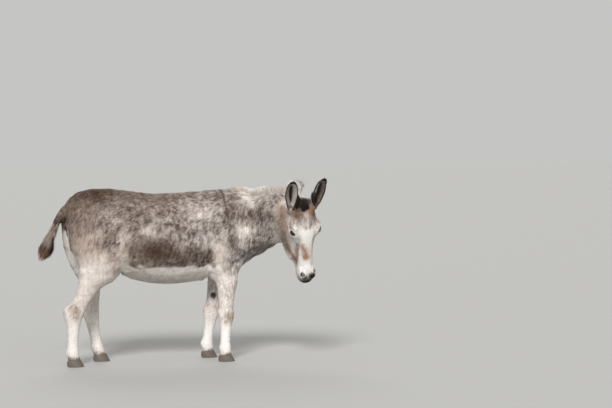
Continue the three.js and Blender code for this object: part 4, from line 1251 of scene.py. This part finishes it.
def roundPlaces(points, path):  # share along a path, and share of the way round it
    path = np.array(path, float)
    along = pathDistance(points, path)[1]
    steps = np.linspace(0, 1, len(path))
    middle = np.stack([np.interp(along, steps, path[:, axis]) for axis in range(3)], 1)
    axis = unit(path[-1] - path[0])
    side = unit(np.cross(axis, (0, 0, 1) if abs(axis[2]) < 0.8 else (1, 0, 0)))
    offset = points - middle
    turn = np.arctan2(offset @ side, offset @ np.cross(side, axis)) / (2 * math.pi) + 0.5
    return np.stack([along, turn], 1)


def unwrapped(index, roots):  # places on the piece's own flat map, from 0 to 1
    path = coatPieces[index][2]
    if path:
        return roundPlaces(toBody(roots), path)
    if index == 4:
        return roundPlaces(toHead(roots), ((-0.06, 0, -0.08), (0.58, 0, -0.05)))
    if index == 5:
        along, rim, side = earFacts(roots).T
        return np.stack([along, (np.clip(rim, -1.05, 1.05) / 2.1 + 0.5) * 0.48 + 0.5 * (side > 0)], 1)
    body, places = toBody(roots), np.zeros((len(roots), 2))
    for leg, joints in legJoints.items():
        right = leg.endswith("right")
        mine = (body[:, 1] < 0) == right
        if leg.startswith("fore") == (index == 6):
            top = np.array(joints[0]) + (0, 0, 0.08)
            flat = roundPlaces(body[mine], [top, joints[1], joints[2], np.array(joints[3]) + (0, 0, -0.03)])
            places[mine] = flat * (1, 0.48) + (0, 0 if right else 0.5)
    return places


def solidMesh(name, points, faces, normals, patches):
    mesh = bpy.data.meshes.new(name)
    mesh.vertices.add(len(points))
    mesh.vertices.foreach_set("co", np.ascontiguousarray(points, np.float32).ravel())
    mesh.loops.add(faces.size)
    mesh.loops.foreach_set("vertex_index", np.ascontiguousarray(faces, np.int32).ravel())
    mesh.polygons.add(len(faces))
    mesh.polygons.foreach_set("loop_start", np.arange(len(faces), dtype=np.int32) * 3)
    mesh.update(calc_edges=True)
    smoothShaded(mesh)
    flat = mesh.uv_layers.new(name="OFBake")
    flat.uv.foreach_set("vector", np.ascontiguousarray(patches[faces.ravel()], np.float32).ravel())
    mesh.normals_split_custom_set_from_vertices(unit(normals).astype(np.float32))
    return mesh


def shortHairs(name, roots, normals, flow, length, width, lift, flat):  # a three-sided hair at each root
    across = np.cross(normals, flow)
    half = (width / 2)[:, None]
    sunk = roots - normals * hairPose["sink"]
    corners = [sunk - across * half, sunk + across * half, sunk + normals * half * 0.9]
    tip = roots + flow * length[:, None] + normals * (lift * length)[:, None]
    points = np.stack(corners + [tip], 1).reshape(-1, 3)
    first = np.arange(len(roots))[:, None, None] * 4
    faces = (first + np.array([(0, 3, 2), (2, 3, 1), (1, 3, 0), (0, 2, 1)])[None]).reshape(-1, 3)
    softNormals = [normals - across * 0.45, normals + across * 0.45, normals, normals + flow * 0.25]
    spread = np.array([(-0.5, -0.5), (0.5, -0.5), (0, -0.5), (0, 0.5)]) * hairPatch
    patches = np.clip(0.01 + 0.98 * flat[:, None] + spread[None], 0, 1).reshape(-1, 2)
    return solidMesh(name, points, faces, np.stack(softNormals, 1).reshape(-1, 3), patches)


def turnedAbout(vectors, axes, angles):
    return vectors * np.cos(angles)[:, None] + np.cross(axes, vectors) * np.sin(angles)[:, None]


def mixedRows(values, corners, shares):  # each triangle's three values, mixed by their shares
    return np.einsum("nk,nk...->n...", shares, values[corners])


def growCoat(mesh):
    mesh.calc_loop_triangles()
    corners = np.empty(len(mesh.loop_triangles) * 3, int)
    mesh.loop_triangles.foreach_get("vertices", corners)
    corners = corners.reshape(-1, 3)
    points, normals = pointsOf(mesh), normalsOf(mesh)
    flow, length, width, lift, density = hairLay(points, normals, noseDistance(mesh))
    edges = edgesOf(mesh)
    for _ in range(12):
        flow = neighbourMean(flow, edges, len(points)) * 0.5 + flow * 0.5
    spans = points[corners]
    area = np.linalg.norm(np.cross(spans[:, 1] - spans[:, 0], spans[:, 2] - spans[:, 0]), axis=1) / 2
    weight = area * density[corners].min(axis=1)
    owner = coatPiece(spans.mean(axis=1))
    for index, (name, count, _) in enumerate(coatPieces):
        chance = np.random.default_rng(100 + index)
        share = weight * (owner == index)
        chosen = chance.choice(len(corners), size=count, p=share / share.sum())
        picks = chance.dirichlet((1, 1, 1), size=count)
        nearby = corners[chosen]
        roots, up = mixedRows(points, nearby, picks), unit(mixedRows(normals, nearby, picks))
        lie = mixedRows(flow, nearby, picks)
        lie = unit(lie - up * np.sum(lie * up, axis=1, keepdims=True))
        sway = hairPose["sway"] * waves(roots, hairPose["swaySize"], 21)
        lie = turnedAbout(lie, up, sway + chance.normal(0, hairPose["turn"], count))
        size = mixedRows(length, nearby, picks) * chance.uniform(0.7, 1.25, count)
        size = size * (1 + 0.12 * waves(roots, 0.035, 22))
        thick = mixedRows(width, nearby, picks) * chance.uniform(0.75, 1.2, count)
        rise = mixedRows(lift, nearby, picks) * chance.uniform(0.4, 1.3, count)
        hair = shortHairs(name, roots, up, lie, size, thick, rise, unwrapped(index, roots))
        marks = np.repeat(coatMarks(roots, up), 4, axis=0)
        along = np.tile((0.0, 0.0, 0.2, 1.0), count)
        paintMarks(hair, np.repeat(roots, 4, axis=0), marks, along, np.repeat(chance.random(count), 4))
        finishPiece(hair, name, hairMaterial, ())
        print(f"stage: {name}, {len(hair.polygons)} triangles")


growCoat(skinMesh)


# Long hairs: each is a thin solid strand along its own line of points.
def longHairs(name, paths, width, normals, flat):  # paths: (hairs, points along each, 3)
    count, steps = paths.shape[:2]
    tangents = unit(np.gradient(paths, axis=1))
    across = unit(np.cross(np.broadcast_to(normals[:, None], paths.shape), tangents))
    above = np.cross(tangents, across)
    share = np.linspace(0, 1, steps)
    half = width[:, None] / 2 * (1 - (1 - strandTip) * share ** 2) * (0.55 + 0.45 * fade(share, 0.0, 0.25))
    half = half[..., None]
    rings = np.stack([paths - across * half, paths + across * half, paths + above * half * 0.9], 2)
    body = rings[:, :-1].reshape(count, -1, 3)
    points = np.concatenate([body, paths[:, -1:]], 1)
    faces = []
    for ring in range(steps - 2):
        low, high = ring * 3, ring * 3 + 3
        for a, b in ((0, 2), (2, 1), (1, 0)):
            faces += [(low + a, high + a, high + b), (low + a, high + b, low + b)]
    last, tip = (steps - 2) * 3, (steps - 1) * 3
    faces += [(last, tip, last + 2), (last + 2, tip, last + 1), (last + 1, tip, last), (0, 2, 1)]
    faces = (np.arange(count)[:, None, None] * points.shape[1] + np.array(faces)[None]).reshape(-1, 3)
    out = np.stack([-across * 0.8 - above * 0.25, across * 0.8 - above * 0.25, above], 2)[:, :-1]
    out = np.concatenate([out.reshape(count, -1, 3), above[:, -1:]], 1)
    spread = [(side * 0.5, step - 0.5) for step in share[:-1] for side in (-1, 1, 0)]
    spread = np.array(spread + [(0, 0.5)]) * hairPatch
    patches = np.clip(0.01 + 0.98 * flat[:, None] + spread[None], 0, 1).reshape(-1, 2)
    along = np.concatenate([np.repeat(share[:-1], 3), [1.0]])
    return solidMesh(name, points.reshape(-1, 3), faces, out.reshape(-1, 3), patches), along


def addLongHairs(name, paths, width, normals, flat, marks, chance, nodes=()):
    mesh, along = longHairs(name, paths, width, normals, flat)
    each = len(along)
    if marks.ndim == 2:
        marks = np.repeat(marks[:, None], each, axis=1)
    paintMarks(mesh, np.repeat(paths[:, 0], each, axis=0), marks.reshape(-1, 4), np.tile(along, len(paths)),
               np.repeat(chance, each))
    print(f"stage: {name}, {len(mesh.polygons)} triangles")
    finishPiece(mesh, name, longHairMaterial, nodes)


def markRows(count, roan, warmth, rust, black):
    return np.stack([np.broadcast_to(value, count).astype(float) for value in (roan, warmth, rust, black)], 1)


skinCorners = [Vector(point) for point in skinPoints]
skinTree = BVHTree.FromPolygons(skinCorners, [face.vertices[:] for face in skinMesh.polygons])


def skinTop(points):  # the height of the skin above each place
    tops = []
    for point in points:
        hit = skinTree.ray_cast(Vector((point[0], point[1], 1.35)), Vector((0, 0, -1)))[0]
        tops.append(hit.z if hit else point[2])
    return np.array(tops)


maneShape = dict(count=4200, width=0.0046, steps=5)
maneLine = [  # share from withers to poll, body place x and y, height and half-width
    (0.0, 0.47, 0.0, 0.01, 0.008), (0.12, 0.54, -0.012, 0.02, 0.011),
    (0.25, 0.6, -0.03, 0.038, 0.014), (0.45, 0.7, -0.092, 0.068, 0.016),
    (0.62, 0.786, -0.176, 0.064, 0.016), (0.75, 0.838, -0.25, 0.064, 0.016),
    (0.85, 0.864, -0.294, 0.112, 0.019), (0.93, 0.886, -0.338, 0.132, 0.018),
    (1.0, 0.899, -0.364, 0.112, 0.012),
]


def growMane():
    chance = np.random.default_rng(7)
    count, steps = maneShape["count"], maneShape["steps"]
    place = chance.random(count) ** 0.85
    x, y, tall, wide = smoothTable(maneLine, place).T
    ahead = smoothTable(maneLine, np.minimum(place + 0.01, 1))
    ahead = ahead - smoothTable(maneLine, np.maximum(place - 0.01, 0))
    forward = unit(np.stack([ahead[:, 0], ahead[:, 1], np.zeros(count)], 1))
    across = np.cross(forward, (0, 0, 1))
    offset = chance.uniform(-1, 1, count)
    roots = groundPoint + np.stack([x, y, np.zeros(count)], 1) + across * (offset * wide)[:, None]
    roots[:, 2] = skinTop(roots) - 0.003
    tall = tall * chance.uniform(0.72, 1.02, count) * (1 - 0.22 * offset ** 2)
    tall = tall * (1 + 0.1 * waves(roots, 0.03, 31))
    share = np.linspace(0, 1, steps)[None, :, None]
    sideways = 0.3 * offset + 0.1 * waves(roots, 0.05, 32) + chance.normal(0, 0.09, count)
    onward = 0.16 * waves(roots, 0.045, 33) + chance.normal(0, 0.1, count) - 0.28 * fade(place, 0.3, 0.0)
    lean = across * sideways[:, None]
    lean += forward * onward[:, None]
    bend = (lean * tall[:, None])[:, None] * share ** 1.6
    paths = roots[:, None] + np.array((0, 0, 1.0)) * (tall[:, None, None] * share * (1 - 0.12 * share)) + bend
    each = np.concatenate([np.repeat(share.ravel()[:-1], 3), [1.0]])
    low = fade(each[None] * tall[:, None], 0.045, 0.012) * fade(place, 0.95, 0.7)[:, None]
    greyer = 0.24 * fade(place, 0.5, 0.62) * fade(place, 0.85, 0.74)
    roan = np.where(chance.random(count) < 0.15, 0.45, 0.08) + greyer
    roan = roan[:, None] * (1 - low) + 0.34 * low
    marks = np.stack([roan, np.full_like(roan, 0.6), np.zeros_like(roan), np.zeros_like(roan)], 2)
    width = maneShape["width"] * chance.uniform(0.7, 1.2, count)
    flat = np.stack([place, offset * 0.2 + 0.5], 1)
    normals = across * np.sign(offset)[:, None]
    addLongHairs("mane_hair", paths, width, normals, flat, marks, chance.random(count),
                 ["mane"])


forelockShape = dict(count=1500, width=0.0029, steps=7)


def growForelock():
    chance = np.random.default_rng(8)
    count, steps = forelockShape["count"], forelockShape["steps"]
    y = chance.uniform(-0.044, 0.042, count)
    x = chance.uniform(-0.03, 0.045, count)
    guess = np.stack([x, y, np.full(count, 0.06)], 1)
    roots = laidOn(headTree(skinMesh), guess)
    reach = chance.uniform(0.28, 1.06, count) * (0.06 - 0.75 * np.abs(y + 0.012)) + 0.014
    share = np.linspace(0, 1, steps)
    rise = (0.032 - 0.4 * np.maximum(x, 0)) * chance.uniform(0.4, 1.15, count) * (1 - 5 * np.abs(y))
    arch = np.sin(np.minimum(share * 1.25, 1.25) * math.pi / 1.35)
    paths = np.repeat(roots[:, None], steps, axis=1)
    paths[..., 0] += reach[:, None] * share[None] ** 1.1
    paths[..., 1] += (chance.normal(0, 0.007, count) + y * 0.15)[:, None] * share[None] ** 1.5
    paths[..., 2] += rise[:, None] * arch[None]
    paths[:, 0, 2] -= 0.003
    worldPaths = fromHead(paths.reshape(-1, 3)).reshape(paths.shape)
    farSide = fade(y, 0.008, 0.035)
    rust = 0.3 * fade(np.abs(y), 0.03, 0.05) + 0.45 * farSide * chance.random(count)
    marks = markRows(count, 1.0, 0.95, rust, chance.uniform(0.72, 1.0, count) * (1 - 0.65 * farSide))
    normals = np.repeat((headTurn @ np.array((0, 0, 1.0)))[None], count, axis=0)
    flat = np.stack([x * 6 + 0.4, y * 8 + 0.5], 1)
    width = forelockShape["width"] * chance.uniform(0.6, 1.2, count)
    addLongHairs("forelock_hair", worldPaths, width, normals, flat, marks, chance.random(count),
                 ["forelock"])


tailShape = dict(count=1500, width=0.004, steps=10)
tailLine = [  # share from root to tip, body place, and the half-width and half-depth of the hair
    (0.0, -0.468, 0.0, 1.036, 0.024, 0.024), (0.125, -0.513, 0.002, 0.994, 0.025, 0.026),
    (0.25, -0.547, 0.006, 0.95, 0.025, 0.027), (0.375, -0.574, 0.014, 0.898, 0.025, 0.028),
    (0.5, -0.604, 0.028, 0.832, 0.029, 0.032), (0.625, -0.622, 0.038, 0.785, 0.035, 0.038),
    (0.75, -0.634, 0.048, 0.738, 0.038, 0.05), (0.875, -0.654, 0.06, 0.694, 0.03, 0.04),
    (1.0, -0.68, 0.072, 0.648, 0.006, 0.008),
]


def growTail():
    chance = np.random.default_rng(9)
    count, steps = tailShape["count"], tailShape["steps"]
    start = chance.uniform(0.24, 0.62, count) ** 0.9
    length = chance.uniform(0.16, 0.46, count) * fade(start, 0.15, 0.45) + 0.05
    end = np.minimum(start + length, chance.uniform(0.8, 1.0, count))
    turn = chance.uniform(0, 2 * math.pi, count)
    share = np.linspace(0, 1, steps)
    places = start[:, None] + (end - start)[:, None] * share[None]
    rows = smoothTable(tailLine, places.ravel())
    middle = rows[:, :3].reshape(count, steps, 3)
    forward = unit(np.gradient(middle, axis=1))
    across = unit(np.cross(forward, (0, 1.0, 0)))
    side = np.cross(across, forward)
    wide, deep = rows[:, 3].reshape(count, steps), rows[:, 4].reshape(count, steps)
    fill = 0.5 + 0.14 * share[None] + 0.5 * share[None] ** 2 * chance.uniform(-0.8, 1.0, count)[:, None]
    swirl = waves(middle[:, 0] + np.array((0, 0, 1)) * turn[:, None] * 0.05, 0.1, 41)
    twist = turn[:, None] + 0.4 * swirl[:, None] * share[None]
    ring = side * (wide * fill * np.cos(twist))[..., None] + across * (deep * fill * np.sin(twist))[..., None]
    paths = groundPoint + middle + ring
    outward = unit(side[:, 0] * np.cos(turn)[:, None] + across[:, 0] * np.sin(turn)[:, None])
    # Black in the middle of the switch, on the side towards the buttocks: partly black hair, partly painted
    # shade between the tail and the buttocks; that side also gets less rust.
    front = fade(np.sin(turn), -0.1, 0.7)
    along = np.concatenate([np.repeat(places[:, :-1], 3, axis=1), places[:, -1:]], 1)
    middlePart = fade(along, 0.5, 0.58) * fade(along, 0.84, 0.76)
    black = 0.96 * middlePart * front[:, None] + 0.35 * fade(along, 0.7, 0.8) * front[:, None]
    rust = 0.6 * fade(along, 0.76, 0.92) * (1 - 0.4 * front)[:, None]
    roan = 0.62 + 0.3 * fade(along, 0.6, 0.8) + chance.normal(0, 0.1, count)[:, None]
    marks = np.clip(np.stack([roan, np.full_like(roan, 0.95), rust, black], 2), 0, 1)
    flat = np.stack([start, turn / (2 * math.pi)], 1)
    width = tailShape["width"] * chance.uniform(0.7, 1.2, count)
    addLongHairs("tail_hair", paths, width, outward, flat, marks, chance.random(count),
                 ["tail_switch"])


def growEarHair():  # the pale fringe inside each ear
    chance = np.random.default_rng(10)
    count, fringe, steps = 900, 450, 5
    paths, marks, normals, flats = [], [], [], []
    for side in (-1, 1):
        place = chance.uniform(0.02, 0.7, count)
        edge = np.where(chance.random(count) < 0.5, -1, 1)
        rim = edge * chance.uniform(0.42, 0.84, count)
        inset = earShape["inset"] + earShape["wall"] + 0.0002
        roots = earPoint(side, place, rim, inset)
        turn = earFrame(side)[0]
        inward = earPoint(side, place, rim, inset + 0.01) - roots
        length = chance.uniform(0.014, 0.03, count) * (1.15 - 0.8 * place)
        up = -turn[:, 0]
        across = -np.sign(edge)[:, None] * turn[:, 1] * 0.55
        goal = unit(up[None] + across + unit(inward) * 0.55 + chance.normal(0, 0.16, (count, 3)))
        share = np.linspace(0, 1, steps)[None, :, None]
        curl = up[None] * 0.35
        lines = goal[:, None] * share + curl[:, None] * share ** 2
        lines = roots[:, None] + lines * length[:, None, None] * 0.85
        paths.append(fromHead(lines.reshape(-1, 3)).reshape(lines.shape))
        outer = (edge * side) > 0
        roan = np.where(outer, 0.42, 0.0) + 0.06 * chance.random(count)
        marks.append(markRows(count, roan, 0.9, 0.14, 0.0))
        normals.append(unit(turn[:, 2] + unit(inward) * 0.3) @ headTurn.T)
        flats.append(np.stack([place, rim * 0.24 + 0.25 + 0.5 * (side > 0)], 1))
        place = chance.uniform(0.0, 0.36, fringe)  # the brown hair that climbs each ear from the poll
        rim = -side * chance.uniform(0.5, 1.0, fringe)
        roots = earPoint(side, place, rim, 0.0)
        outward = unit(roots - earPoint(side, place, rim, 0.01))
        length = chance.uniform(0.022, 0.04, fringe) * (1.1 - 1.6 * place)
        goal = unit(up[None] + outward * 0.55 + chance.normal(0, 0.15, (fringe, 3)))
        lines = roots[:, None] + goal[:, None] * share * length[:, None, None]
        paths.append(fromHead(lines.reshape(-1, 3)).reshape(lines.shape))
        marks.append(markRows(fringe, 0.85, 1.0, 0.45 * chance.random(fringe), 0.3 * chance.random(fringe)))
        normals.append(outward @ headTurn.T)
        flats.append(np.stack([place, rim * 0.24 + 0.25 + 0.5 * (side > 0)], 1))
    total = 2 * (count + fringe)
    width = hairWidths["fringe"] * chance.uniform(0.7, 1.2, total)
    addLongHairs("ear_fringe", np.concatenate(paths), width, np.concatenate(normals), np.concatenate(flats),
                 np.concatenate(marks), chance.random(total))


whiskerWidth, lashWidth = 0.0007, 0.0008


def growWhiskers():
    chance = np.random.default_rng(11)
    count, steps = 110, 5
    side = np.where(chance.random(count) < 0.5, -1, 1)
    x = chance.uniform(0.455, 0.545, count)
    low = chance.random(count) < 0.6
    y = side * chance.uniform(0.01, 0.055, count)
    guess = np.stack([x, y, np.where(low, -0.14, -0.04 + 0.03 * chance.random(count))], 1)
    roots = laidOn(headTree(skinMesh), guess)
    away = unit(roots - np.array((0.44, 0, -0.07)))
    length = chance.uniform(0.012, 0.026, count)
    share = np.linspace(0, 1, steps)[None, :, None]
    goal = away + np.array((0.5, 0, -0.1)) + chance.normal(0, 0.2, (count, 3))
    paths = unit(goal)[:, None] * share + np.array((0.25, 0, -0.15)) * share ** 2
    paths = roots[:, None] + paths * length[:, None, None]
    paths = fromHead(paths.reshape(-1, 3)).reshape(count, steps, 3)
    marks = markRows(count, np.where(chance.random(count) < 0.6, 0.9, 0.1), 0.4, 0.0, 0.2)
    normals, flat = unit(away @ headTurn.T), np.stack([x, x], 1)
    addLongHairs("whiskers", paths, np.full(count, whiskerWidth), normals, flat, marks, chance.random(count))


def growLashes():
    chance = np.random.default_rng(12)
    count, steps = 70, 6
    paths, normals = [], []
    for side in (-1, 1):
        turns = np.linspace(0.3, 2.75, count) + chance.normal(0, 0.02, count)
        edge, outward = lidEdge(turns)
        roots = onBall(side, edge + outward * 0.01, np.full(count, 0.0018))
        away = onBall(side, edge + outward * 0.01, np.full(count, 0.02)) - roots
        frameAxes = eyeFrame(side)
        out = unit(away) * 0.95 + frameAxes[:, 2] * 0.45 - frameAxes[:, 1] * 0.1
        length = 0.01 * np.sin(np.clip(turns, 0.1, 3.0)) ** 0.5 * chance.uniform(0.8, 1.15, count)
        share = np.linspace(0, 1, steps)[None, :, None]
        droop = -frameAxes[:, 2] * 0.55
        lines = unit(out + chance.normal(0, 0.08, (count, 3)))[:, None] * share + droop * share ** 2
        lines = roots[:, None] + lines * length[:, None, None]
        paths.append(fromHead(lines.reshape(-1, 3)).reshape(lines.shape))
        normals.append(np.repeat((headTurn @ frameAxes[:, 2])[None], count, axis=0))
    total = 2 * count
    flat = np.stack([np.linspace(0, 1, total), np.full(total, 0.5)], 1)
    addLongHairs("lashes", np.concatenate(paths), np.full(total, lashWidth), np.concatenate(normals), flat,
                 markRows(total, 1.0, 0.3, 0.0, 1.0), chance.random(total))


growMane()
growForelock()
growTail()
growEarHair()
growWhiskers()
growLashes()


# Eyes: a dark ball, bulging at its front, with a lengthwise pupil painted on the bulge.
irisSizes = dict(
    iris=0.66, rim=0.1, whiteStart=0.04, whiteEnd=0.2, pupilLong=0.4, pupilTall=0.2, around=64, rings=40,
)
eyeColours = dict(
    pupil=(0.002, 0.002, 0.003, 1), iris=(0.03, 0.013, 0.006, 1),
    outer=(0.01, 0.006, 0.005, 1), white=(0.06, 0.04, 0.035, 1),
)


def eyeMesh(side):
    angles = np.linspace(0, math.pi, irisSizes["rings"] + 2)[1:-1]
    turns = np.arange(irisSizes["around"]) / irisSizes["around"] * 2 * math.pi
    axes = eyeFrame(side)
    around = axes[:, 1][None] * np.cos(turns)[:, None] + axes[:, 2][None] * np.sin(turns)[:, None]
    points = []
    for angle in [0, *angles, math.pi]:
        share = float(fade(np.array(angle), eyeShape["cornea"], eyeShape["cornea"] * 0.25))
        bulge = eyeShape["corneaRise"] * share
        reach = eyeRadius - 0.0002 + bulge
        ring = axes[:, 0][None] * math.cos(angle) + around * math.sin(angle)
        points.append(ring[:1] * reach if angle in (0, math.pi) else ring * reach)
    local = np.concatenate(points)
    count = len(turns)
    faces = [(0, 1 + (i + 1) % count, 1 + i) for i in range(count)]
    for ring in range(len(angles) - 1):
        for i in range(count):
            following = (i + 1) % count
            square = (i, following, following + count, i + count)
            faces.append(tuple(1 + ring * count + corner for corner in square))
    last = len(local) - 1
    faces += [(last, last - count + i, last - count + (i + 1) % count) for i in range(count)]
    mesh = meshFrom("eye", fromHead(local + eyePlace * (1, side, 1)), faces)
    outwardFacing(mesh)
    smoothShaded(mesh)
    setVectors(mesh, "eyePlace", local @ axes / eyeRadius)
    return mesh


def eyeMaterial():
    material = bpy.data.materials.new("eye")
    tree, shader = shaderOf(material)
    place = attributeOf(tree, "eyePlace")
    _, long, tall = addNode(tree, "ShaderNodeSeparateXYZ", None, _0=place).outputs

    def squared(value):
        return calculated(tree, "MULTIPLY", value, value)

    reach = calculated(tree, "SQRT", calculated(tree, "ADD", squared(long), squared(tall)))
    pupilLong = squared(calculated(tree, "DIVIDE", long, irisSizes["pupilLong"]))
    pupilTall = squared(calculated(tree, "DIVIDE", tall, irisSizes["pupilTall"]))
    oval = calculated(tree, "SQRT", calculated(tree, "ADD", pupilLong, pupilTall))
    edge = irisSizes["iris"]
    iris = rangeShare(tree, reach, edge - irisSizes["rim"], edge)
    white = rangeShare(tree, reach, edge + irisSizes["whiteStart"], edge + irisSizes["whiteEnd"])
    pupil = rangeShare(tree, oval, 0.85, 1.1)
    colour = mixedColour(tree, iris, eyeColours["iris"], eyeColours["outer"])
    colour = mixedColour(tree, white, colour, eyeColours["white"])
    colour = mixedColour(tree, pupil, eyeColours["pupil"], colour)
    tree.links.new(colour, shader.inputs["Base Color"])
    shader.inputs["Roughness"].default_value = 0.06
    shader.inputs["Specular IOR Level"].default_value = 0.4
    return material


eyeLook = eyeMaterial()
for side, name in ((-1, "eye_right"), (1, "eye_left")):
    finishPiece(eyeMesh(side), f"{name}_ball", eyeLook, [name])


# Hooves: a wall with growth rings, two heel bulbs, and a hollow sole.
hoofShape = dict(
    length=0.106, width=0.082, toe=0.053, heel=0.033, toeSlope=0.028, heelSlope=0.006, crownInset=0.006,
    around=72, levels=16, ringDepth=0.00018, ringTurns=34,
    bulb=0.003, bulbTurn=0.45, notch=0.07, notchWidth=0.22,  # the two heels and the notch between them
    sole=((0.3, 0.004), (0.55, 0.004), (0.84, 0.002), (0.9, 0.0)),  # share of the outline, and height
    crown=((0.96, -0.0015), (0.86, -0.004), (0.6, -0.008), (0.25, -0.01)),  # share of the outline, and drop
)
hornColours = dict(dark=(0.055, 0.044, 0.036, 1), pale=(0.2, 0.165, 0.13, 1), grain=(0.035, 0.028, 0.024, 1))


def hoofMesh(leg):
    low, high = (np.array(corner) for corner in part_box(f"{leg}_hoof"))
    middle = (low + high) / 2
    turns = np.arange(hoofShape["around"]) / hoofShape["around"] * 2 * math.pi
    toeShare = (1 + np.cos(turns)) / 2
    outline = np.stack([np.cos(turns), np.sin(turns) * (1 - 0.1 * np.cos(turns))], 1)
    notch = 1 - hoofShape["notch"] * bell(np.abs(turns - math.pi), hoofShape["notchWidth"])
    rings = []
    crownMiddle = middle[0] - (hoofShape["toeSlope"] + hoofShape["heelSlope"]) / 2
    crownHalf = hoofShape["length"] / 2 - (hoofShape["toeSlope"] - hoofShape["heelSlope"]) / 2 - 0.002
    height = hoofShape["heel"] + (hoofShape["toe"] - hoofShape["heel"]) * toeShare

    def level(share, shrink=1.0, drop=0.0):
        halfLength = hoofShape["length"] / 2 + (crownHalf - hoofShape["length"] / 2) * share
        halfWidth = hoofShape["width"] / 2 - hoofShape["crownInset"] * share
        ringed = hoofShape["ringDepth"] * math.sin(share * hoofShape["ringTurns"])
        ringed = ringed * fade(np.array(share), 0.0, 0.1)
        bulb = hoofShape["bulb"] * bell(np.abs(turns - math.pi) - hoofShape["bulbTurn"], 0.25)
        bulb = bulb * math.sin(math.pi * min(share * 1.2, 1))
        x = middle[0] + (crownMiddle - middle[0]) * share
        x = x + (halfLength + ringed) * outline[:, 0] * notch * shrink
        x -= bulb * shrink
        y = middle[1] + (halfWidth + ringed) * outline[:, 1] * shrink / 1.03
        return np.stack([x, y, height * share - drop], 1)

    for shrink, lift in hoofShape["sole"]:
        ring = level(0.0, shrink)
        ring[:, 2] = lift
        rings.append(ring)
    for share in np.linspace(0, 1, hoofShape["levels"]):
        rings.append(level(share, 0.985 if share == 0 else 1.0))
    for shrink, drop in hoofShape["crown"]:
        rings.append(level(1.0, shrink, drop))
    points = np.concatenate(rings)
    count = len(turns)
    faces = ringFaces(len(rings), count, False)
    faces.append(tuple(range(count)))
    faces.append(tuple(range(len(points) - count, len(points))))
    mesh = meshFrom(f"{leg}_hoof_wall", points, faces)
    outwardFacing(mesh)
    smoothShaded(mesh)
    setVectors(mesh, "hoofPlace", points - middle * (1, 1, 0))
    return mesh


def hornMaterial():
    material = bpy.data.materials.new("horn")
    tree, shader = shaderOf(material)
    place = attributeOf(tree, "hoofPlace")
    rings = stretchedNoise(tree, place, (0.25, 0.25, 2.2), 140, 2)
    grain = stretchedNoise(tree, place, (1, 1, 0.12), 420, 2)
    blend = calculated(tree, "MULTIPLY_ADD", rings, 1.2, -0.1)
    colour = mixedColour(tree, blend, hornColours["dark"], hornColours["pale"])
    colour = mixedColour(tree, calculated(tree, "MULTIPLY", grain, 0.5), colour, hornColours["grain"])
    tree.links.new(colour, shader.inputs["Base Color"])
    shader.inputs["Roughness"].default_value = 0.55
    shader.inputs["Specular IOR Level"].default_value = 0.35
    relief = addNode(tree, "ShaderNodeBump", None, Strength=0.35, Distance=0.001, Height=grain)
    tree.links.new(relief.outputs["Normal"], shader.inputs["Normal"])
    return material


hornLook = hornMaterial()
for leg in legJoints:
    finishPiece(hoofMesh(leg), f"{leg}_hoof_wall", hornLook, [f"{leg}_hoof"])
print("stage: eyes and hooves")


# The studio: a pale floor, soft lights and the camera.
studio = dict(
    floorHalf=60.0, floorColour=(0.365, 0.362, 0.35, 1), wallColour=(0.8, 0.8, 0.79, 1), wallLight=0.7,
    aim=(0, 0, 0.75),
)
lamps = [  # name, place, strength, and the angle that sets how soft the shadows are
    ("key", (-3.4, -7.6, 6.6), 3.7, 0.3),
    ("fill", (3.0, -8.0, 2.2), 0.8, 0.9),
    ("back", (1.0, 6.5, 6.0), 0.9, 0.6),
]
viewpoint = dict(place=(-2.5206, -11.6975, 1.5), forward=(0.29212, 0.95549, -0.04131), lens=110.4)


def pointedAt(piece, direction):
    piece.rotation_euler = Vector(direction).to_track_quat("-Z", "Y").to_euler()


def makeStudio():
    half = studio["floorHalf"]
    corners = [(-half, -half, 0), (half, -half, 0), (half, half, 0), (-half, half, 0)]
    mesh = meshFrom("floor", corners, [(0, 1, 2, 3)])
    material = bpy.data.materials.new("floor")
    shader = shaderOf(material)[1]
    shader.inputs["Base Color"].default_value = studio["floorColour"]
    shader.inputs["Roughness"].default_value = 0.9
    shader.inputs["Specular IOR Level"].default_value = 0.1
    mesh.materials.append(material)
    floor = newObject("floor", mesh)
    world = bpy.data.worlds.new("studio")
    world.use_nodes = True
    background = next(node for node in world.node_tree.nodes if node.type == "BACKGROUND")
    background.inputs["Color"].default_value = studio["wallColour"]
    background.inputs["Strength"].default_value = studio["wallLight"]
    bpy.context.scene.world = world
    for name, place, power, angle in lamps:
        lamp = bpy.data.lights.new(name, "SUN")
        lamp.energy = power
        lamp.angle = angle
        light = newObject(name, lamp)
        light.location = place
        pointedAt(light, Vector(studio["aim"]) - Vector(place))


def makeCamera():
    camera = bpy.data.cameras.new("camera")
    camera.lens = viewpoint["lens"]
    camera.sensor_width = 36
    camera.clip_end = 200
    piece = newObject("camera", camera)
    piece.location = Vector(groundPoint) + Vector(viewpoint["place"])
    pointedAt(piece, viewpoint["forward"])
    bpy.context.scene.camera = piece
    bpy.context.scene.view_settings.view_transform = "Standard"


makeStudio()
makeCamera()
print("stage: studio and camera")
